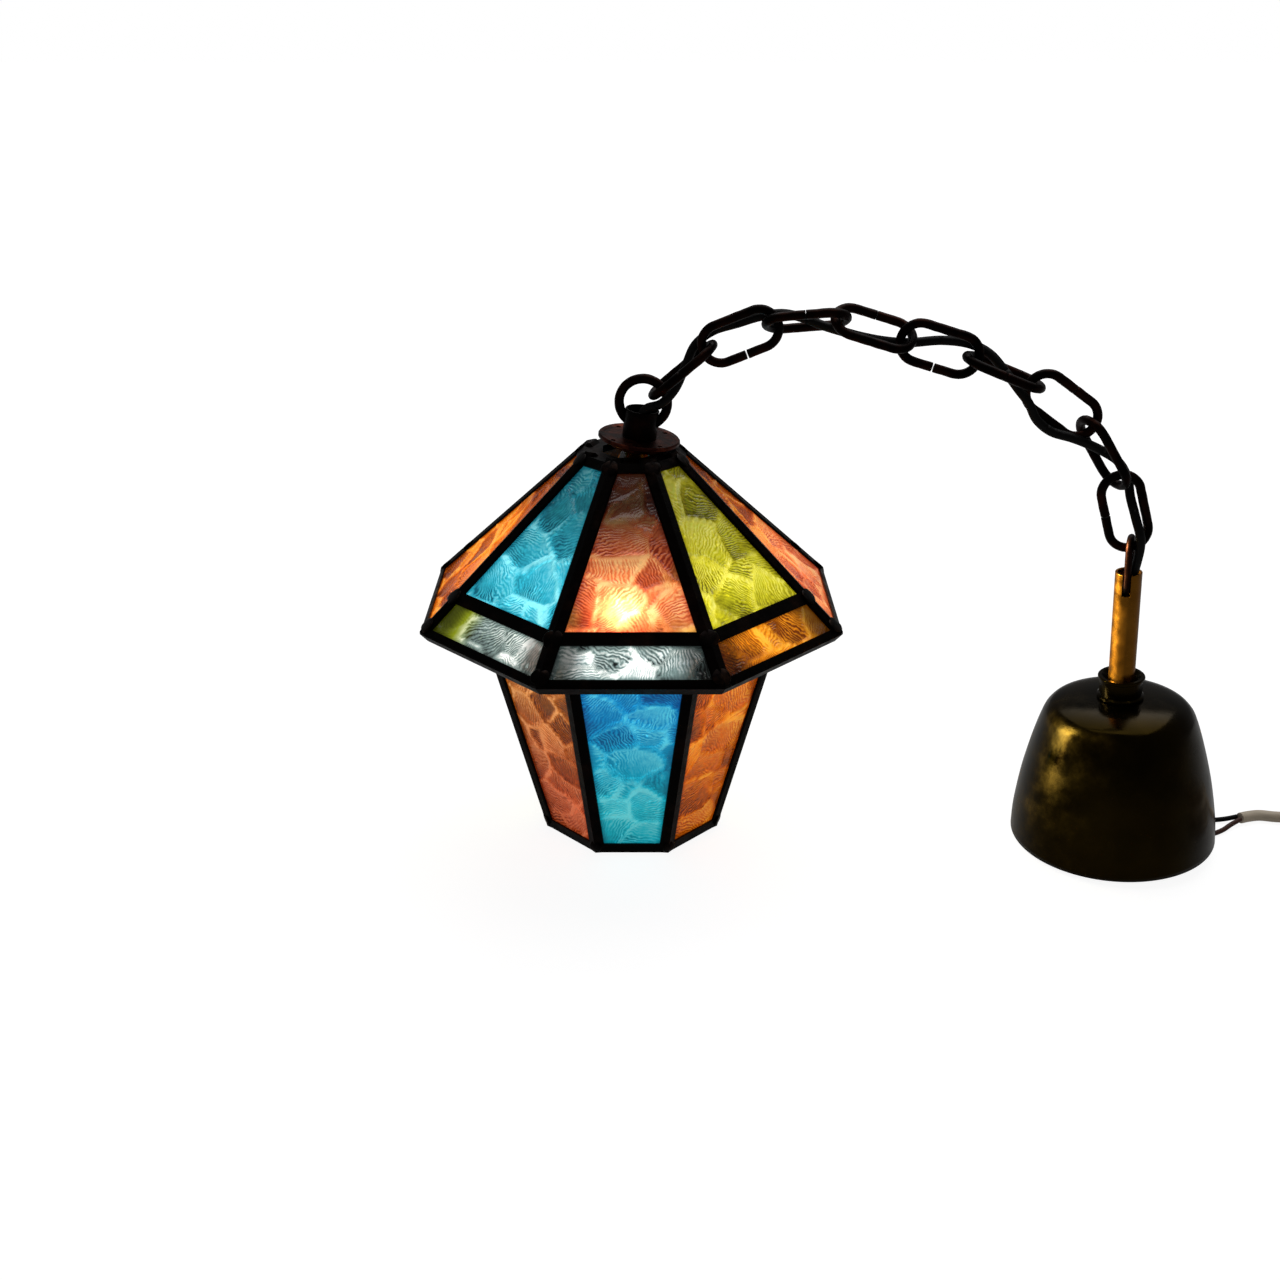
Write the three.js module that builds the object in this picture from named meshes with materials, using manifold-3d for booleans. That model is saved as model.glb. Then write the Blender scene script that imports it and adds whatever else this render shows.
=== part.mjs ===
// An eight-sided stained-glass pendant lantern with its hanging chain and ceiling canopy.
//
// The lantern stands on its open base ring. The chain rises from the ring on its cap, arches over to
// the right and comes down to a slotted brass tube. The tube goes through a bell-shaped canopy that
// stands on its rim beside the lantern, and the supply lead comes out from under that rim.
//
// Millimetres, +Z up. The front faces -Y. The origin is on the surface under the middle of the object.

import * as THREE from 'three';
import { mergeVertices } from 'three/addons/utils/BufferGeometryUtils.js';
import Module from 'manifold-3d';

const wasm = await Module();
wasm.setup();

// ---------------------------------------------------------------- driving dimensions

const GAP = 0.3;                     // left between pieces that touch
const LANTERN_X = -86.26;            // the lantern's axis, from the middle of the whole object

// the eight-sided roof: radii reach to its corners
const SIDES = 8;
const EAVE_RADIUS = 95;
const EAVE_Z = 105.8;
const ROOF_SLOPE = 1.0;              // rise over run, square to a face
const CROSSBAR_RADIUS = 79.7;        // the bar between the upper panes and the eave panes
const TOP_RING_RADIUS = 21.6;
const TOP_RING_BORE = 13;

// lead came and glass
const CAME_DEPTH = 5.4;              // through the came, square to the glass
const CAME_LIP = 0.9;                // the came's flange over the glass
const GLASS_THICKNESS = 3;
const HIP_WIDTH = 7;
const CROSSBAR_WIDTH = 5.6;
const POST_WIDTH = 7;
const CAME_CREST = 0.35;             // the solder along a corner stands this proud
const GLASS_INSET = 1.2;             // from the middle of a came to the edge of the glass in it

// the walls lean out from the base ring to the roof
const BASE_RADIUS = 41.6;
const WALL_LEAN = 0.26;              // growth of the corner radius for each millimetre up
const BASE_RING_HEIGHT = 5;
const WALL_RING_BOTTOM = 110;
const WALL_RING_TOP = 116;
const WALL_GLASS_TOP = 113.5;

// the cap, collar, ring and lampholder hang together and sit a little crooked in the roof
const FITTING_PIVOT_Z = 150;
const FITTING_TILT = 6.5;            // degrees, towards the chain
const CAP_RADIUS = 17.2;
const CAP_Z = 28.4;                  // heights from here down are above the pivot
const NIPPLE_RADIUS = 5;
const NIPPLE_BORE = 4.2;
const COLLAR_RADIUS = 7.2;
const COLLAR_BORE = 6.5;
const COLLAR_TOP = 41.2;
const RING_CENTRE = 44;
const RING_RADIUS = 10;
const RING_WIRE = 2;
const RING_SWING = 20;               // degrees, each way
const BULB_CENTRE = -50;
const BULB_RADIUS = 22.5;

// the chain: slopes in degrees from the lantern to the tube, and each link's turn about its length
const CHAIN_YAW = 6;                 // the chain leads off this far forward of straight right
const LINK_WIRE = 1.9;
const LINK_LENGTH = 36;
const LINK_PLAY = 1.0;               // between the wires where two links meet
const LINK_WIDTH = 19.5;
const LINK_SLOPES = [41, 23, 6, -16, -16, -21, -35, -57, -72];
const LINK_TURNS = [90, 0, 60, 120, 180, 90, 0, 65, 0];
const LINK_SEAM_SIDES = [1, -1, 1, -1, 1, 1, 1, -1, -1];
const LINK_SEAMS = [0.3, 0.8, 0.3, 0.3, 0.8, 0.3, 0.5, 0.3, 0.8];     // how wide each seam is left
const HOOK_TURN = 72;
const HOOK_WIRE = 1.5;
const HOOK_SPREAD = 8.4;             // between the two legs

// the tube and canopy: heights are measured along their axis from the canopy's rim
const CANOPY_LEAN = 4;               // degrees, back towards the lantern
const CANOPY_RIM = 44;
const CANOPY_HEIGHT = 66.5;
const TUBE_RADIUS = 5.5;
const TUBE_BORE = 4.5;
const TUBE_BOTTOM = 50;
const TUBE_TOP = 124.5;
const SLOT_DEPTH = 9.5;
const SLOT_WIDTH = 3.4;
const COLLAR_HEIGHT = 10;
const CANOPY_BORE = 5.9;

// the flex in the chain, the two wires under the canopy's rim, and the supply cord
const FLEX_RADIUS = 1.9;
const WIRE_RADIUS = 1.1;
const CORD_RADIUS = 2.5;
const COIL_MIDDLE = 30;              // from the coil's centre to the middle of its turns
const COIL_COLUMNS = 3;
const COIL_ROWS = 3;
const COIL_CENTRE = [120, -10];      // right of the canopy's middle, and back

// ---------------------------------------------------------------- finishes

const finish = (color, roughness, metalness) =>
  new THREE.MeshStandardMaterial({ color, roughness, metalness });
const glass = (color) => {
  const material = finish(color, 0.25, 0);
  material.transparent = true;
  material.opacity = 0.6;
  return material;
};
const leadBlack = finish(0x17110e, 0.5, 0.8);
const chainBlack = finish(0x1a100c, 0.45, 0.85);
const copperBrown = finish(0x4a1f14, 0.45, 0.9);
const brass = finish(0xb8862c, 0.3, 1);
const darkBronze = finish(0x3c2a14, 0.28, 1);
const steel = finish(0x8f9092, 0.4, 1);
const phenolic = finish(0x120f0e, 0.5, 0);
const bulbGlass = finish(0xfff4d8, 0.2, 0);
const blackPvc = finish(0x0c0b0b, 0.5, 0);
const brownPvc = finish(0x4a2313, 0.5, 0);
const whitePvc = finish(0xd8c8b4, 0.55, 0);

const ORANGE = 0xd9730f;
const AMBER = 0xe0a01c;
const TURQUOISE = 0x1fa9c9;
const SALMON = 0xd2603f;
const LIME = 0xa9b81c;
const CLEAR = 0xdfe8e4;
const BLUE = 0x1793c9;
const BROWN = 0x9a5a26;
const GREEN = 0x4f9a3a;

// pane colours by face, from the front face round to the right
const UPPER_GLASS = [SALMON, LIME, ORANGE, TURQUOISE, AMBER, GREEN, ORANGE, TURQUOISE];
const EAVE_GLASS = [CLEAR, AMBER, SALMON, CLEAR, ORANGE, CLEAR, ORANGE, CLEAR];
const WALL_GLASS = [BLUE, ORANGE, LIME, TURQUOISE, BROWN, BLUE, LIME, BROWN];
const FACE_NAMES = [
  'front', 'front_right', 'right', 'back_right', 'back', 'back_left', 'left', 'front_left',
];

// ---------------------------------------------------------------- solids

const radians = THREE.MathUtils.degToRad;

function toSolid(geometry) {
  const bare = geometry.index ? geometry.toNonIndexed() : geometry.clone();
  for (const name of Object.keys(bare.attributes)) {
    if (name !== 'position') bare.deleteAttribute(name);
  }
  const merged = mergeVertices(bare, 1e-4);
  const corners = merged.index.array;
  const kept = [];
  for (let i = 0; i < corners.length; i += 3) {
    const [a, b, c] = [corners[i], corners[i + 1], corners[i + 2]];
    if (a !== b && b !== c && c !== a) kept.push(a, b, c);
  }
  const mesh = new wasm.Mesh({
    numProp: 3,
    vertProperties: new Float32Array(merged.attributes.position.array),
    triVerts: new Uint32Array(kept),
  });
  const solid = new wasm.Manifold(mesh);
  if (solid.volume() > 0) return solid;
  for (let i = 0; i < kept.length; i += 3) [kept[i], kept[i + 1]] = [kept[i + 1], kept[i]];
  mesh.triVerts = new Uint32Array(kept);
  return new wasm.Manifold(mesh);
}

function toGeometry(solid) {
  const mesh = solid.getMesh();
  const geometry = new THREE.BufferGeometry();
  geometry.setAttribute('position', new THREE.BufferAttribute(mesh.vertProperties, 3));
  geometry.setIndex(new THREE.BufferAttribute(mesh.triVerts, 1));
  geometry.computeVertexNormals();
  return geometry;
}

const join = (solids) => solids.reduce((all, solid) => all.add(solid));
const cut = (solid, tools) => tools.reduce((left, tool) => left.subtract(tool), solid);

// a profile of [radius, height] points, closed on itself, turned about Z
function turned(profile, segments = 40, start = 0) {
  const points = profile.map(([r, z]) => new THREE.Vector2(r, z));
  if (THREE.ShapeUtils.isClockWise(points)) points.reverse();
  points.push(points[0]);
  return new THREE.LatheGeometry(points, segments, start).rotateX(Math.PI / 2);
}

// the same with eight flat sides, one of them facing the front
const eightSided = (profile) => turned(profile, SIDES, Math.PI / SIDES);

function cylinder(radius, from, to, segments = 24) {
  const length = to.distanceTo(from);
  const turn = new THREE.Quaternion().setFromUnitVectors(
    new THREE.Vector3(0, 1, 0), to.clone().sub(from).normalize());
  return new THREE.CylinderGeometry(radius, radius, length, segments)
    .applyQuaternion(turn)
    .translate(...from.clone().lerp(to, 0.5).toArray());
}

const circle = (radius, sides) => new THREE.Shape(
  Array.from({ length: sides }, (_, i) => {
    const angle = (i + 0.5) * 2 * Math.PI / sides;
    return new THREE.Vector2(radius * Math.cos(angle), radius * Math.sin(angle));
  }));

const along = (curve, radius, steps, sides = 8) =>
  new THREE.ExtrudeGeometry(circle(radius, sides), { steps, extrudePath: curve });

const group = new THREE.Group();

function piece(name, geometry, material, parent) {
  const mesh = new THREE.Mesh(geometry, material);
  mesh.name = name;
  parent.add(mesh);
  return mesh;
}

// ---------------------------------------------------------------- the eight-sided frame

const HALF_SIDE = Math.PI / SIDES;
const ACROSS_FLAT = Math.cos(HALF_SIDE);            // from a corner radius to a flat's distance
const roofPitch = Math.atan(ROOF_SLOPE);
const wallPitch = Math.atan(WALL_LEAN * ACROSS_FLAT);
const roofZ = (radius) => EAVE_Z + (EAVE_RADIUS - radius) * ACROSS_FLAT * ROOF_SLOPE;
const wallRadius = (z) => BASE_RADIUS + WALL_LEAN * z;
const facing = (angle) => new THREE.Vector3(Math.sin(angle), -Math.cos(angle), 0);
const UP = new THREE.Vector3(0, 0, 1);

// the frame of face k: X across it, Y up its slope, Z out of it
function faceMatrix(k, pitch, distance, z) {
  const out = facing(k * 2 * HALF_SIDE);
  const slope = out.clone().multiplyScalar(-Math.cos(pitch)).addScaledVector(UP, Math.sin(pitch));
  const normal = out.clone().multiplyScalar(Math.sin(pitch)).addScaledVector(UP, Math.cos(pitch));
  const across = slope.clone().cross(normal);
  return new THREE.Matrix4().makeBasis(across, slope, normal)
    .setPosition(out.multiplyScalar(distance).addScaledVector(UP, z));
}

const roofFace = (k) => faceMatrix(k, roofPitch, EAVE_RADIUS * ACROSS_FLAT, EAVE_Z);
const wallFace = (k) => faceMatrix(k, Math.PI / 2 + wallPitch, BASE_RADIUS * ACROSS_FLAT, 0);

// half the width of a face at a slope distance, at the given depth under its outer skin
const roofHalfWidth = (slope, depth) =>
  (EAVE_RADIUS * ACROSS_FLAT - slope * Math.cos(roofPitch) - depth * Math.sin(roofPitch))
    * Math.tan(HALF_SIDE);
const wallHalfWidth = (slope, depth) =>
  (BASE_RADIUS * ACROSS_FLAT + slope * Math.sin(wallPitch) - depth * Math.cos(wallPitch))
    * Math.tan(HALF_SIDE);

// a four-sided pane between two slope distances; grow makes the slot that it slides into
function paneGeometry({ halfWidth, low, high }, grow) {
  const deep = CAME_LIP + GLASS_THICKNESS + (grow ? 2 * GAP : GAP);
  const top = CAME_LIP + (grow ? 0 : GAP);
  const inset = (GLASS_INSET - grow) * 1.05;
  const [lowEdge, highEdge] = [low - grow, high + grow];
  const shape = new THREE.Shape([
    new THREE.Vector2(-halfWidth(lowEdge, deep) + inset, lowEdge),
    new THREE.Vector2(halfWidth(lowEdge, deep) - inset, lowEdge),
    new THREE.Vector2(halfWidth(highEdge, deep) - inset, highEdge),
    new THREE.Vector2(-halfWidth(highEdge, deep) + inset, highEdge),
  ]);
  return new THREE.ExtrudeGeometry(shape, { depth: deep - top, bevelEnabled: false })
    .translate(0, 0, -deep);
}

const slopeAt = (radius) => (EAVE_RADIUS - radius) * ACROSS_FLAT / Math.cos(roofPitch);
const crossbarSlope = slopeAt(CROSSBAR_RADIUS);
const roofTopSlope = slopeAt(TOP_RING_RADIUS) - 1.2;
const wallSlope = (z) => z / Math.cos(wallPitch);
const EAVE_GLASS_LOW = 1.9;
const WALL_GLASS_LOW = 2.2;

// the left and right faces have one pane from the eave to the top, and no crossbar
const UNDIVIDED = [FACE_NAMES.indexOf('left'), FACE_NAMES.indexOf('right')];

const ROOF_PANES = UPPER_GLASS.map((colour, k) => ({
  name: `roof_pane_${FACE_NAMES[k]}`,
  colour,
  face: roofFace(k),
  halfWidth: roofHalfWidth,
  low: UNDIVIDED.includes(k) ? EAVE_GLASS_LOW : crossbarSlope + 1,
  high: roofTopSlope,
}));
const EAVE_PANES = EAVE_GLASS.map((colour, k) => ({
  name: `eave_pane_${FACE_NAMES[k]}`,
  colour,
  face: roofFace(k),
  halfWidth: roofHalfWidth,
  low: EAVE_GLASS_LOW,
  high: crossbarSlope - 1,
})).filter((_, k) => !UNDIVIDED.includes(k));
const WALL_PANES = WALL_GLASS.map((colour, k) => ({
  name: `wall_pane_${FACE_NAMES[k]}`,
  colour,
  face: wallFace(k),
  halfWidth: wallHalfWidth,
  low: WALL_GLASS_LOW,
  high: wallSlope(WALL_GLASS_TOP),
}));

const slotsFor = (panes) => panes.map((pane) => toSolid(paneGeometry(pane, GAP).applyMatrix4(pane.face)));

// a came that follows a corner, bent to the two faces that meet there
function cornerCame(width, bend, from, to, outward) {
  const half = width / 2;
  const fall = half * Math.tan(bend);
  const shape = new THREE.Shape([
    new THREE.Vector2(-half, -fall - CAME_DEPTH),
    new THREE.Vector2(0, -CAME_DEPTH),
    new THREE.Vector2(half, -fall - CAME_DEPTH),
    new THREE.Vector2(half, -fall - 0.4),
    new THREE.Vector2(half - 0.5, -fall + CAME_CREST * 0.4),
    new THREE.Vector2(0, CAME_CREST),
    new THREE.Vector2(-half + 0.5, -fall + CAME_CREST * 0.4),
    new THREE.Vector2(-half, -fall - 0.4),
  ]);
  const direction = to.clone().sub(from).normalize();
  const across = outward.clone().cross(direction);
  return new THREE.ExtrudeGeometry(shape, { depth: to.distanceTo(from), bevelEnabled: false })
    .applyMatrix4(new THREE.Matrix4().makeBasis(across, outward, direction).setPosition(from));
}

const cornerAngle = (k) => (2 * k + 1) * HALF_SIDE;
const cornerPoint = (k, radius, z) => facing(cornerAngle(k)).multiplyScalar(radius).addScaledVector(UP, z);

// half the angle between two neighbouring faces of the given pitch
const bendOf = (pitch) =>
  Math.acos(Math.sin(pitch) ** 2 * Math.cos(2 * HALF_SIDE) + Math.cos(pitch) ** 2) / 2;

// everything behind one face, from corner to corner
function faceWedge(k) {
  const corners = [cornerPoint(k - 1, 120, 0), cornerPoint(k, 120, 0)];
  const outline = [new THREE.Vector2(), ...corners.map(({ x, y }) => new THREE.Vector2(x, y))];
  const shape = new THREE.Shape(outline);
  return new THREE.ExtrudeGeometry(shape, { depth: 200, bevelEnabled: false });
}

function roofFrame() {
  const rise = ROOF_SLOPE * ACROSS_FLAT;
  const hips = FACE_NAMES.map((_, k) => {
    const outward = facing(cornerAngle(k)).multiplyScalar(rise).add(UP).normalize();
    const bottom = EAVE_RADIUS + 1;
    const top = TOP_RING_RADIUS - 3;
    return toSolid(cornerCame(HIP_WIDTH, bendOf(roofPitch),
      cornerPoint(k, bottom, roofZ(bottom)), cornerPoint(k, top, roofZ(top)), outward));
  });
  const deepR = CAME_DEPTH * Math.sin(roofPitch) / ACROSS_FLAT;
  const deepZ = CAME_DEPTH * Math.cos(roofPitch);
  const eaveLip = 3.2 * Math.cos(roofPitch);
  const eaveUnderR = EAVE_RADIUS - 3 / ACROSS_FLAT;
  const eaveUnderZ = EAVE_Z - 4.4;
  const eave = eightSided([
    [EAVE_RADIUS, EAVE_Z - 0.7],
    [EAVE_RADIUS - 0.5, EAVE_Z + 0.45],
    [EAVE_RADIUS - eaveLip / ACROSS_FLAT, EAVE_Z + eaveLip],
    [EAVE_RADIUS - eaveLip / ACROSS_FLAT - deepR, EAVE_Z + eaveLip - deepZ],
    [eaveUnderR - 0.4, eaveUnderZ],
    [eaveUnderR, eaveUnderZ],
  ]);
  const halfBar = CROSSBAR_WIDTH / 2 * Math.cos(roofPitch);
  const barRing = eightSided([
    [CROSSBAR_RADIUS + halfBar / ACROSS_FLAT, roofZ(CROSSBAR_RADIUS) - halfBar],
    [CROSSBAR_RADIUS - halfBar / ACROSS_FLAT, roofZ(CROSSBAR_RADIUS) + halfBar],
    [CROSSBAR_RADIUS - halfBar / ACROSS_FLAT - deepR, roofZ(CROSSBAR_RADIUS) + halfBar - deepZ],
    [CROSSBAR_RADIUS + halfBar / ACROSS_FLAT - deepR, roofZ(CROSSBAR_RADIUS) - halfBar - deepZ],
  ]);
  const crossbar = cut(toSolid(barRing), UNDIVIDED.map((k) => toSolid(faceWedge(k))));
  const ringFoot = TOP_RING_RADIUS + 3.3;
  const topRing = eightSided([
    [TOP_RING_BORE, roofZ(TOP_RING_RADIUS) - 3],
    [TOP_RING_BORE, roofZ(TOP_RING_RADIUS)],
    [TOP_RING_RADIUS, roofZ(TOP_RING_RADIUS)],
    [ringFoot, roofZ(ringFoot)],
    [ringFoot - deepR, roofZ(ringFoot) - deepZ],
    [TOP_RING_RADIUS - 4.1, roofZ(TOP_RING_RADIUS) - 3],
  ]);
  // the hips end at the eave's outer face
  const envelope = toSolid(eightSided([
    [0.01, eaveUnderZ],
    [eaveUnderR, eaveUnderZ],
    [EAVE_RADIUS, EAVE_Z - 0.7],
    [EAVE_RADIUS, EAVE_Z + 0.6],
    [TOP_RING_RADIUS - 1, roofZ(TOP_RING_RADIUS - 1) + 0.6],
    [0.01, roofZ(TOP_RING_RADIUS - 1) + 0.6],
  ]));
  const bars = join(hips).intersect(envelope);
  const whole = join([bars, toSolid(eave), crossbar, toSolid(topRing)]);
  return cut(whole, slotsFor([...ROOF_PANES, ...EAVE_PANES]));
}

function bodyFrame() {
  const deep = CAME_DEPTH / ACROSS_FLAT / Math.cos(wallPitch);
  const band = (low, high) => eightSided([
    [wallRadius(low), low], [wallRadius(high), high],
    [wallRadius(high) - deep, high], [wallRadius(low) - deep, low],
  ]);
  const posts = FACE_NAMES.map((_, k) => {
    const outward = facing(cornerAngle(k)).addScaledVector(UP, -WALL_LEAN).normalize();
    const top = 125;
    return toSolid(cornerCame(POST_WIDTH, bendOf(Math.PI / 2 + wallPitch),
      cornerPoint(k, wallRadius(-2), -2), cornerPoint(k, wallRadius(top), top), outward));
  });
  // everything above the underside of the roof cames, and below the base, is cut off
  const underside = (radius) => roofZ(radius) - CAME_DEPTH / Math.cos(roofPitch) - 0.6;
  const above = toSolid(eightSided([
    [0.01, underside(0)], [110, underside(110)], [110, 200], [0.01, 200],
  ]));
  const below = toSolid(eightSided([[0.01, -10], [60, -10], [60, 0], [0.01, 0]]));
  const rings = [band(0, BASE_RING_HEIGHT), band(WALL_RING_BOTTOM, WALL_RING_TOP)];
  const whole = join([...posts, ...rings.map(toSolid)]);
  return cut(whole, [above, below, ...slotsFor(WALL_PANES)]);
}

const lantern = new THREE.Group();
lantern.position.set(LANTERN_X, 0, 0);
group.add(lantern);

piece('roof_frame', toGeometry(roofFrame()), leadBlack, lantern);
piece('body_frame', toGeometry(bodyFrame()), leadBlack, lantern);
for (const pane of [...ROOF_PANES, ...EAVE_PANES, ...WALL_PANES]) {
  piece(pane.name, paneGeometry(pane, 0), glass(pane.colour), lantern).applyMatrix4(pane.face);
}

// ---------------------------------------------------------------- cap, ring and lampholder

// everything from the fitting onwards is turned to face along the chain
const hanging = new THREE.Group();
hanging.position.set(LANTERN_X, 0, 0);
hanging.rotation.z = -radians(CHAIN_YAW);
group.add(hanging);

const fitting = new THREE.Group();
fitting.position.z = FITTING_PIVOT_Z;
fitting.rotation.y = radians(FITTING_TILT);
hanging.add(fitting);

function vaseCap() {
  const z = CAP_Z;
  const disc = toSolid(turned([
    [NIPPLE_RADIUS + GAP, z + 0.1], [11, z + 0.1], [11, z - 2.9], [12, z - 2.9], [12, z],
    [CAP_RADIUS - 0.7, z - 0.4], [CAP_RADIUS, z], [CAP_RADIUS, z + 0.9],
    [CAP_RADIUS - 0.6, z + 1.5], [CAP_RADIUS - 1.8, z + 1.3],
    [CAP_RADIUS - 2.4, z + 0.9], [NIPPLE_RADIUS + GAP, z + 1.2],
  ], 32));
  const holes = [0, 1, 2, 3].map((i) => {
    const angle = radians(45 + 90 * i);
    const at = new THREE.Vector3(13.9 * Math.cos(angle), 13.9 * Math.sin(angle), z - 5);
    return toSolid(cylinder(1.1, at, at.clone().setZ(z + 5), 8));
  });
  return toGeometry(cut(disc, holes));
}

function hangingCollar() {
  const foot = CAP_Z + 1.2 + GAP;
  const body = toSolid(turned([
    [NIPPLE_RADIUS + GAP, foot], [COLLAR_RADIUS, foot],
    [COLLAR_RADIUS, COLLAR_TOP - 0.5], [COLLAR_RADIUS - 0.3, COLLAR_TOP],
    [COLLAR_BORE, COLLAR_TOP], [COLLAR_BORE, foot + 1.1], [NIPPLE_RADIUS + GAP, foot + 1],
  ], 32));
  // the way that the ring takes through the two walls, at every angle of its swing
  const pivot = RING_CENTRE - RING_RADIUS;
  const ways = [-1, -0.5, 0, 0.5, 1].map((share) => toSolid(
    new THREE.TorusGeometry(RING_RADIUS, RING_WIRE + GAP, 8, 20)
      .rotateX(Math.PI / 2)
      .translate(0, 0, RING_RADIUS)
      .rotateX(radians(share * (RING_SWING + 1)))
      .translate(0, 0, pivot)));
  const mouth = toSolid(cylinder(COLLAR_BORE - 0.01, new THREE.Vector3(0, 0, foot + 1.2),
    new THREE.Vector3(0, 0, COLLAR_TOP + 1), 32));
  return toGeometry(cut(body, [mouth, ...ways]));
}

piece('vase_cap', vaseCap(), copperBrown, fitting);
piece('hanging_collar', hangingCollar(), chainBlack, fitting);
piece('hanging_ring', new THREE.TorusGeometry(RING_RADIUS, RING_WIRE, 8, 30)
  .rotateX(Math.PI / 2).translate(0, 0, RING_CENTRE), chainBlack, fitting);

const NIPPLE_TOP = CAP_Z + 2.2;
const NIPPLE_FOOT = 8;
piece('threaded_nipple', turned([
  [NIPPLE_BORE, NIPPLE_FOOT], [NIPPLE_RADIUS, NIPPLE_FOOT], [NIPPLE_RADIUS, NIPPLE_TOP],
  [NIPPLE_BORE + 0.6, NIPPLE_TOP], [NIPPLE_BORE, NIPPLE_TOP - 2.2],
], 24), brass, fitting);

// a strap under the top ring pulls the cap down onto it
const STRAP_TOP = 19.6;
function clampStrap() {
  const plate = new THREE.BoxGeometry(15, 29, 1.5).translate(0, 0, STRAP_TOP - 0.75);
  const hole = cylinder(NIPPLE_RADIUS + GAP, new THREE.Vector3(0, 0, 10), new THREE.Vector3(0, 0, 30));
  return toGeometry(toSolid(plate).subtract(toSolid(hole)));
}
piece('clamp_strap', clampStrap(), steel, fitting);

function hexNut(acrossFlats, bore, bottom, height) {
  const radius = acrossFlats / Math.sqrt(3);
  const hexagon = new THREE.CylinderGeometry(radius, radius, height, 6)
    .rotateX(Math.PI / 2).translate(0, 0, bottom + height / 2);
  const hole = cylinder(bore, new THREE.Vector3(0, 0, bottom - 1),
    new THREE.Vector3(0, 0, bottom + height + 1));
  return toGeometry(toSolid(hexagon).subtract(toSolid(hole)));
}
piece('lock_nut', hexNut(14, NIPPLE_RADIUS + GAP, 14.5, 3), brass, fitting);

// the small screw-cap lampholder, open downwards
piece('lampholder_cap', turned([
  [NIPPLE_RADIUS + GAP, 5], [13, 5], [13, 10], [10, 13.6], [NIPPLE_RADIUS + GAP, 13.6],
], 24), phenolic, fitting);
piece('lampholder_shell', turned([
  [9.4, 4.7], [9.4, -26], [12.4, -26], [12.4, -12], [14, -11], [14, -6], [12.8, -5], [12.8, 4.7],
], 24), phenolic, fitting);
piece('lampholder_screw_shell', turned([
  [7.4, 1], [7.4, -21], [9.1, -21], [9.1, 1],
], 24), brass, fitting);

// the bulb, screwed up into it
const bulb = new THREE.Group();
fitting.add(bulb);
piece('bulb_base', turned([
  [0.01, -2.6], [2.4, -2.6], [3.4, -4], [6.8, -6],
  [6.8, -22], [6, -22.6], [5.4, -22.6], [5.4, -21], [0.01, -21],
], 20), brass, bulb);

function bulbGlobe() {
  const neck = 5;
  const outer = [];
  const start = Math.asin(neck / BULB_RADIUS);
  const inward = 1 - 1 / BULB_RADIUS;
  for (let i = 0; i <= 9; i += 1) {
    const angle = start + (Math.PI - start) * i / 9;
    outer.push([Math.max(BULB_RADIUS * Math.sin(angle), 0.01), BULB_CENTRE + BULB_RADIUS * Math.cos(angle)]);
  }
  const inside = outer.map(([r, z]) => [
    Math.max(r * inward, 0.01), BULB_CENTRE + (z - BULB_CENTRE) * inward]).reverse();
  return turned([[neck, -21.5], ...outer, ...inside, [neck - 1, -21.5]], 20);
}
piece('bulb_glass', bulbGlobe(), bulbGlass, bulb);

// ---------------------------------------------------------------- chain

const PITCH = LINK_LENGTH - 4 * LINK_WIRE - LINK_PLAY;         // from one meeting of links to the next
const END_OFFSET = (2 * LINK_WIRE + LINK_PLAY) / 2;     // from a meeting to the middle of a link's end wire

// the corners of the chain's arch in its own upright plane: X along, Z up
const tilt = radians(FITTING_TILT);
const ringMiddle = new THREE.Vector3(RING_CENTRE * Math.sin(tilt), 0,
  FITTING_PIVOT_Z + RING_CENTRE * Math.cos(tilt));
const heading = (slope) => new THREE.Vector3(Math.cos(radians(slope)), 0, Math.sin(radians(slope)));
const meetings = [ringMiddle.clone().addScaledVector(heading(LINK_SLOPES[0]), RING_RADIUS - END_OFFSET)];
LINK_SLOPES.forEach((slope, i) => {
  meetings.push(meetings[i].clone().addScaledVector(heading(slope), PITCH));
});

// a link lies along X in its own XZ plane, with its seam in the middle of one long side
function linkGeometry(seamSide, seam) {
  const turn = (LINK_WIDTH - 2 * LINK_WIRE) / 2;
  const straight = LINK_LENGTH / 2 - LINK_WIRE - turn;
  const path = new THREE.CurvePath();
  const at = (x, z) => new THREE.Vector3(x, 0, z * seamSide);
  const arc = (middle, from) => {
    const points = Array.from({ length: 9 }, (_, i) => from + Math.PI * i / 8)
      .map((angle) => at(middle + turn * Math.sin(angle), turn * Math.cos(angle)));
    return new THREE.CatmullRomCurve3(points, false, 'centripetal');
  };
  path.add(new THREE.LineCurve3(at(seam / 2, turn), at(straight, turn)));
  path.add(arc(straight, 0));
  path.add(new THREE.LineCurve3(at(straight, -turn), at(-straight, -turn)));
  path.add(arc(-straight, Math.PI));
  path.add(new THREE.LineCurve3(at(-straight, turn), at(-seam / 2, turn)));
  return along(path, LINK_WIRE, 24);
}

LINK_SLOPES.forEach((slope, i) => {
  const shape = linkGeometry(LINK_SEAM_SIDES[i], LINK_SEAMS[i]);
  const link = piece(`chain_link_${i + 1}`, shape, chainBlack, hanging);
  link.position.copy(meetings[i]).lerp(meetings[i + 1], 0.5);
  link.rotation.set(radians(LINK_TURNS[i]), -radians(slope), 0, 'YXZ');
});

// ---------------------------------------------------------------- tube and canopy

const lean = radians(CANOPY_LEAN);
const chainEnd = meetings[meetings.length - 1];
const rimCentreZ = CANOPY_RIM * Math.sin(lean);
const axisLength = (chainEnd.z - rimCentreZ) / Math.cos(lean);

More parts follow.
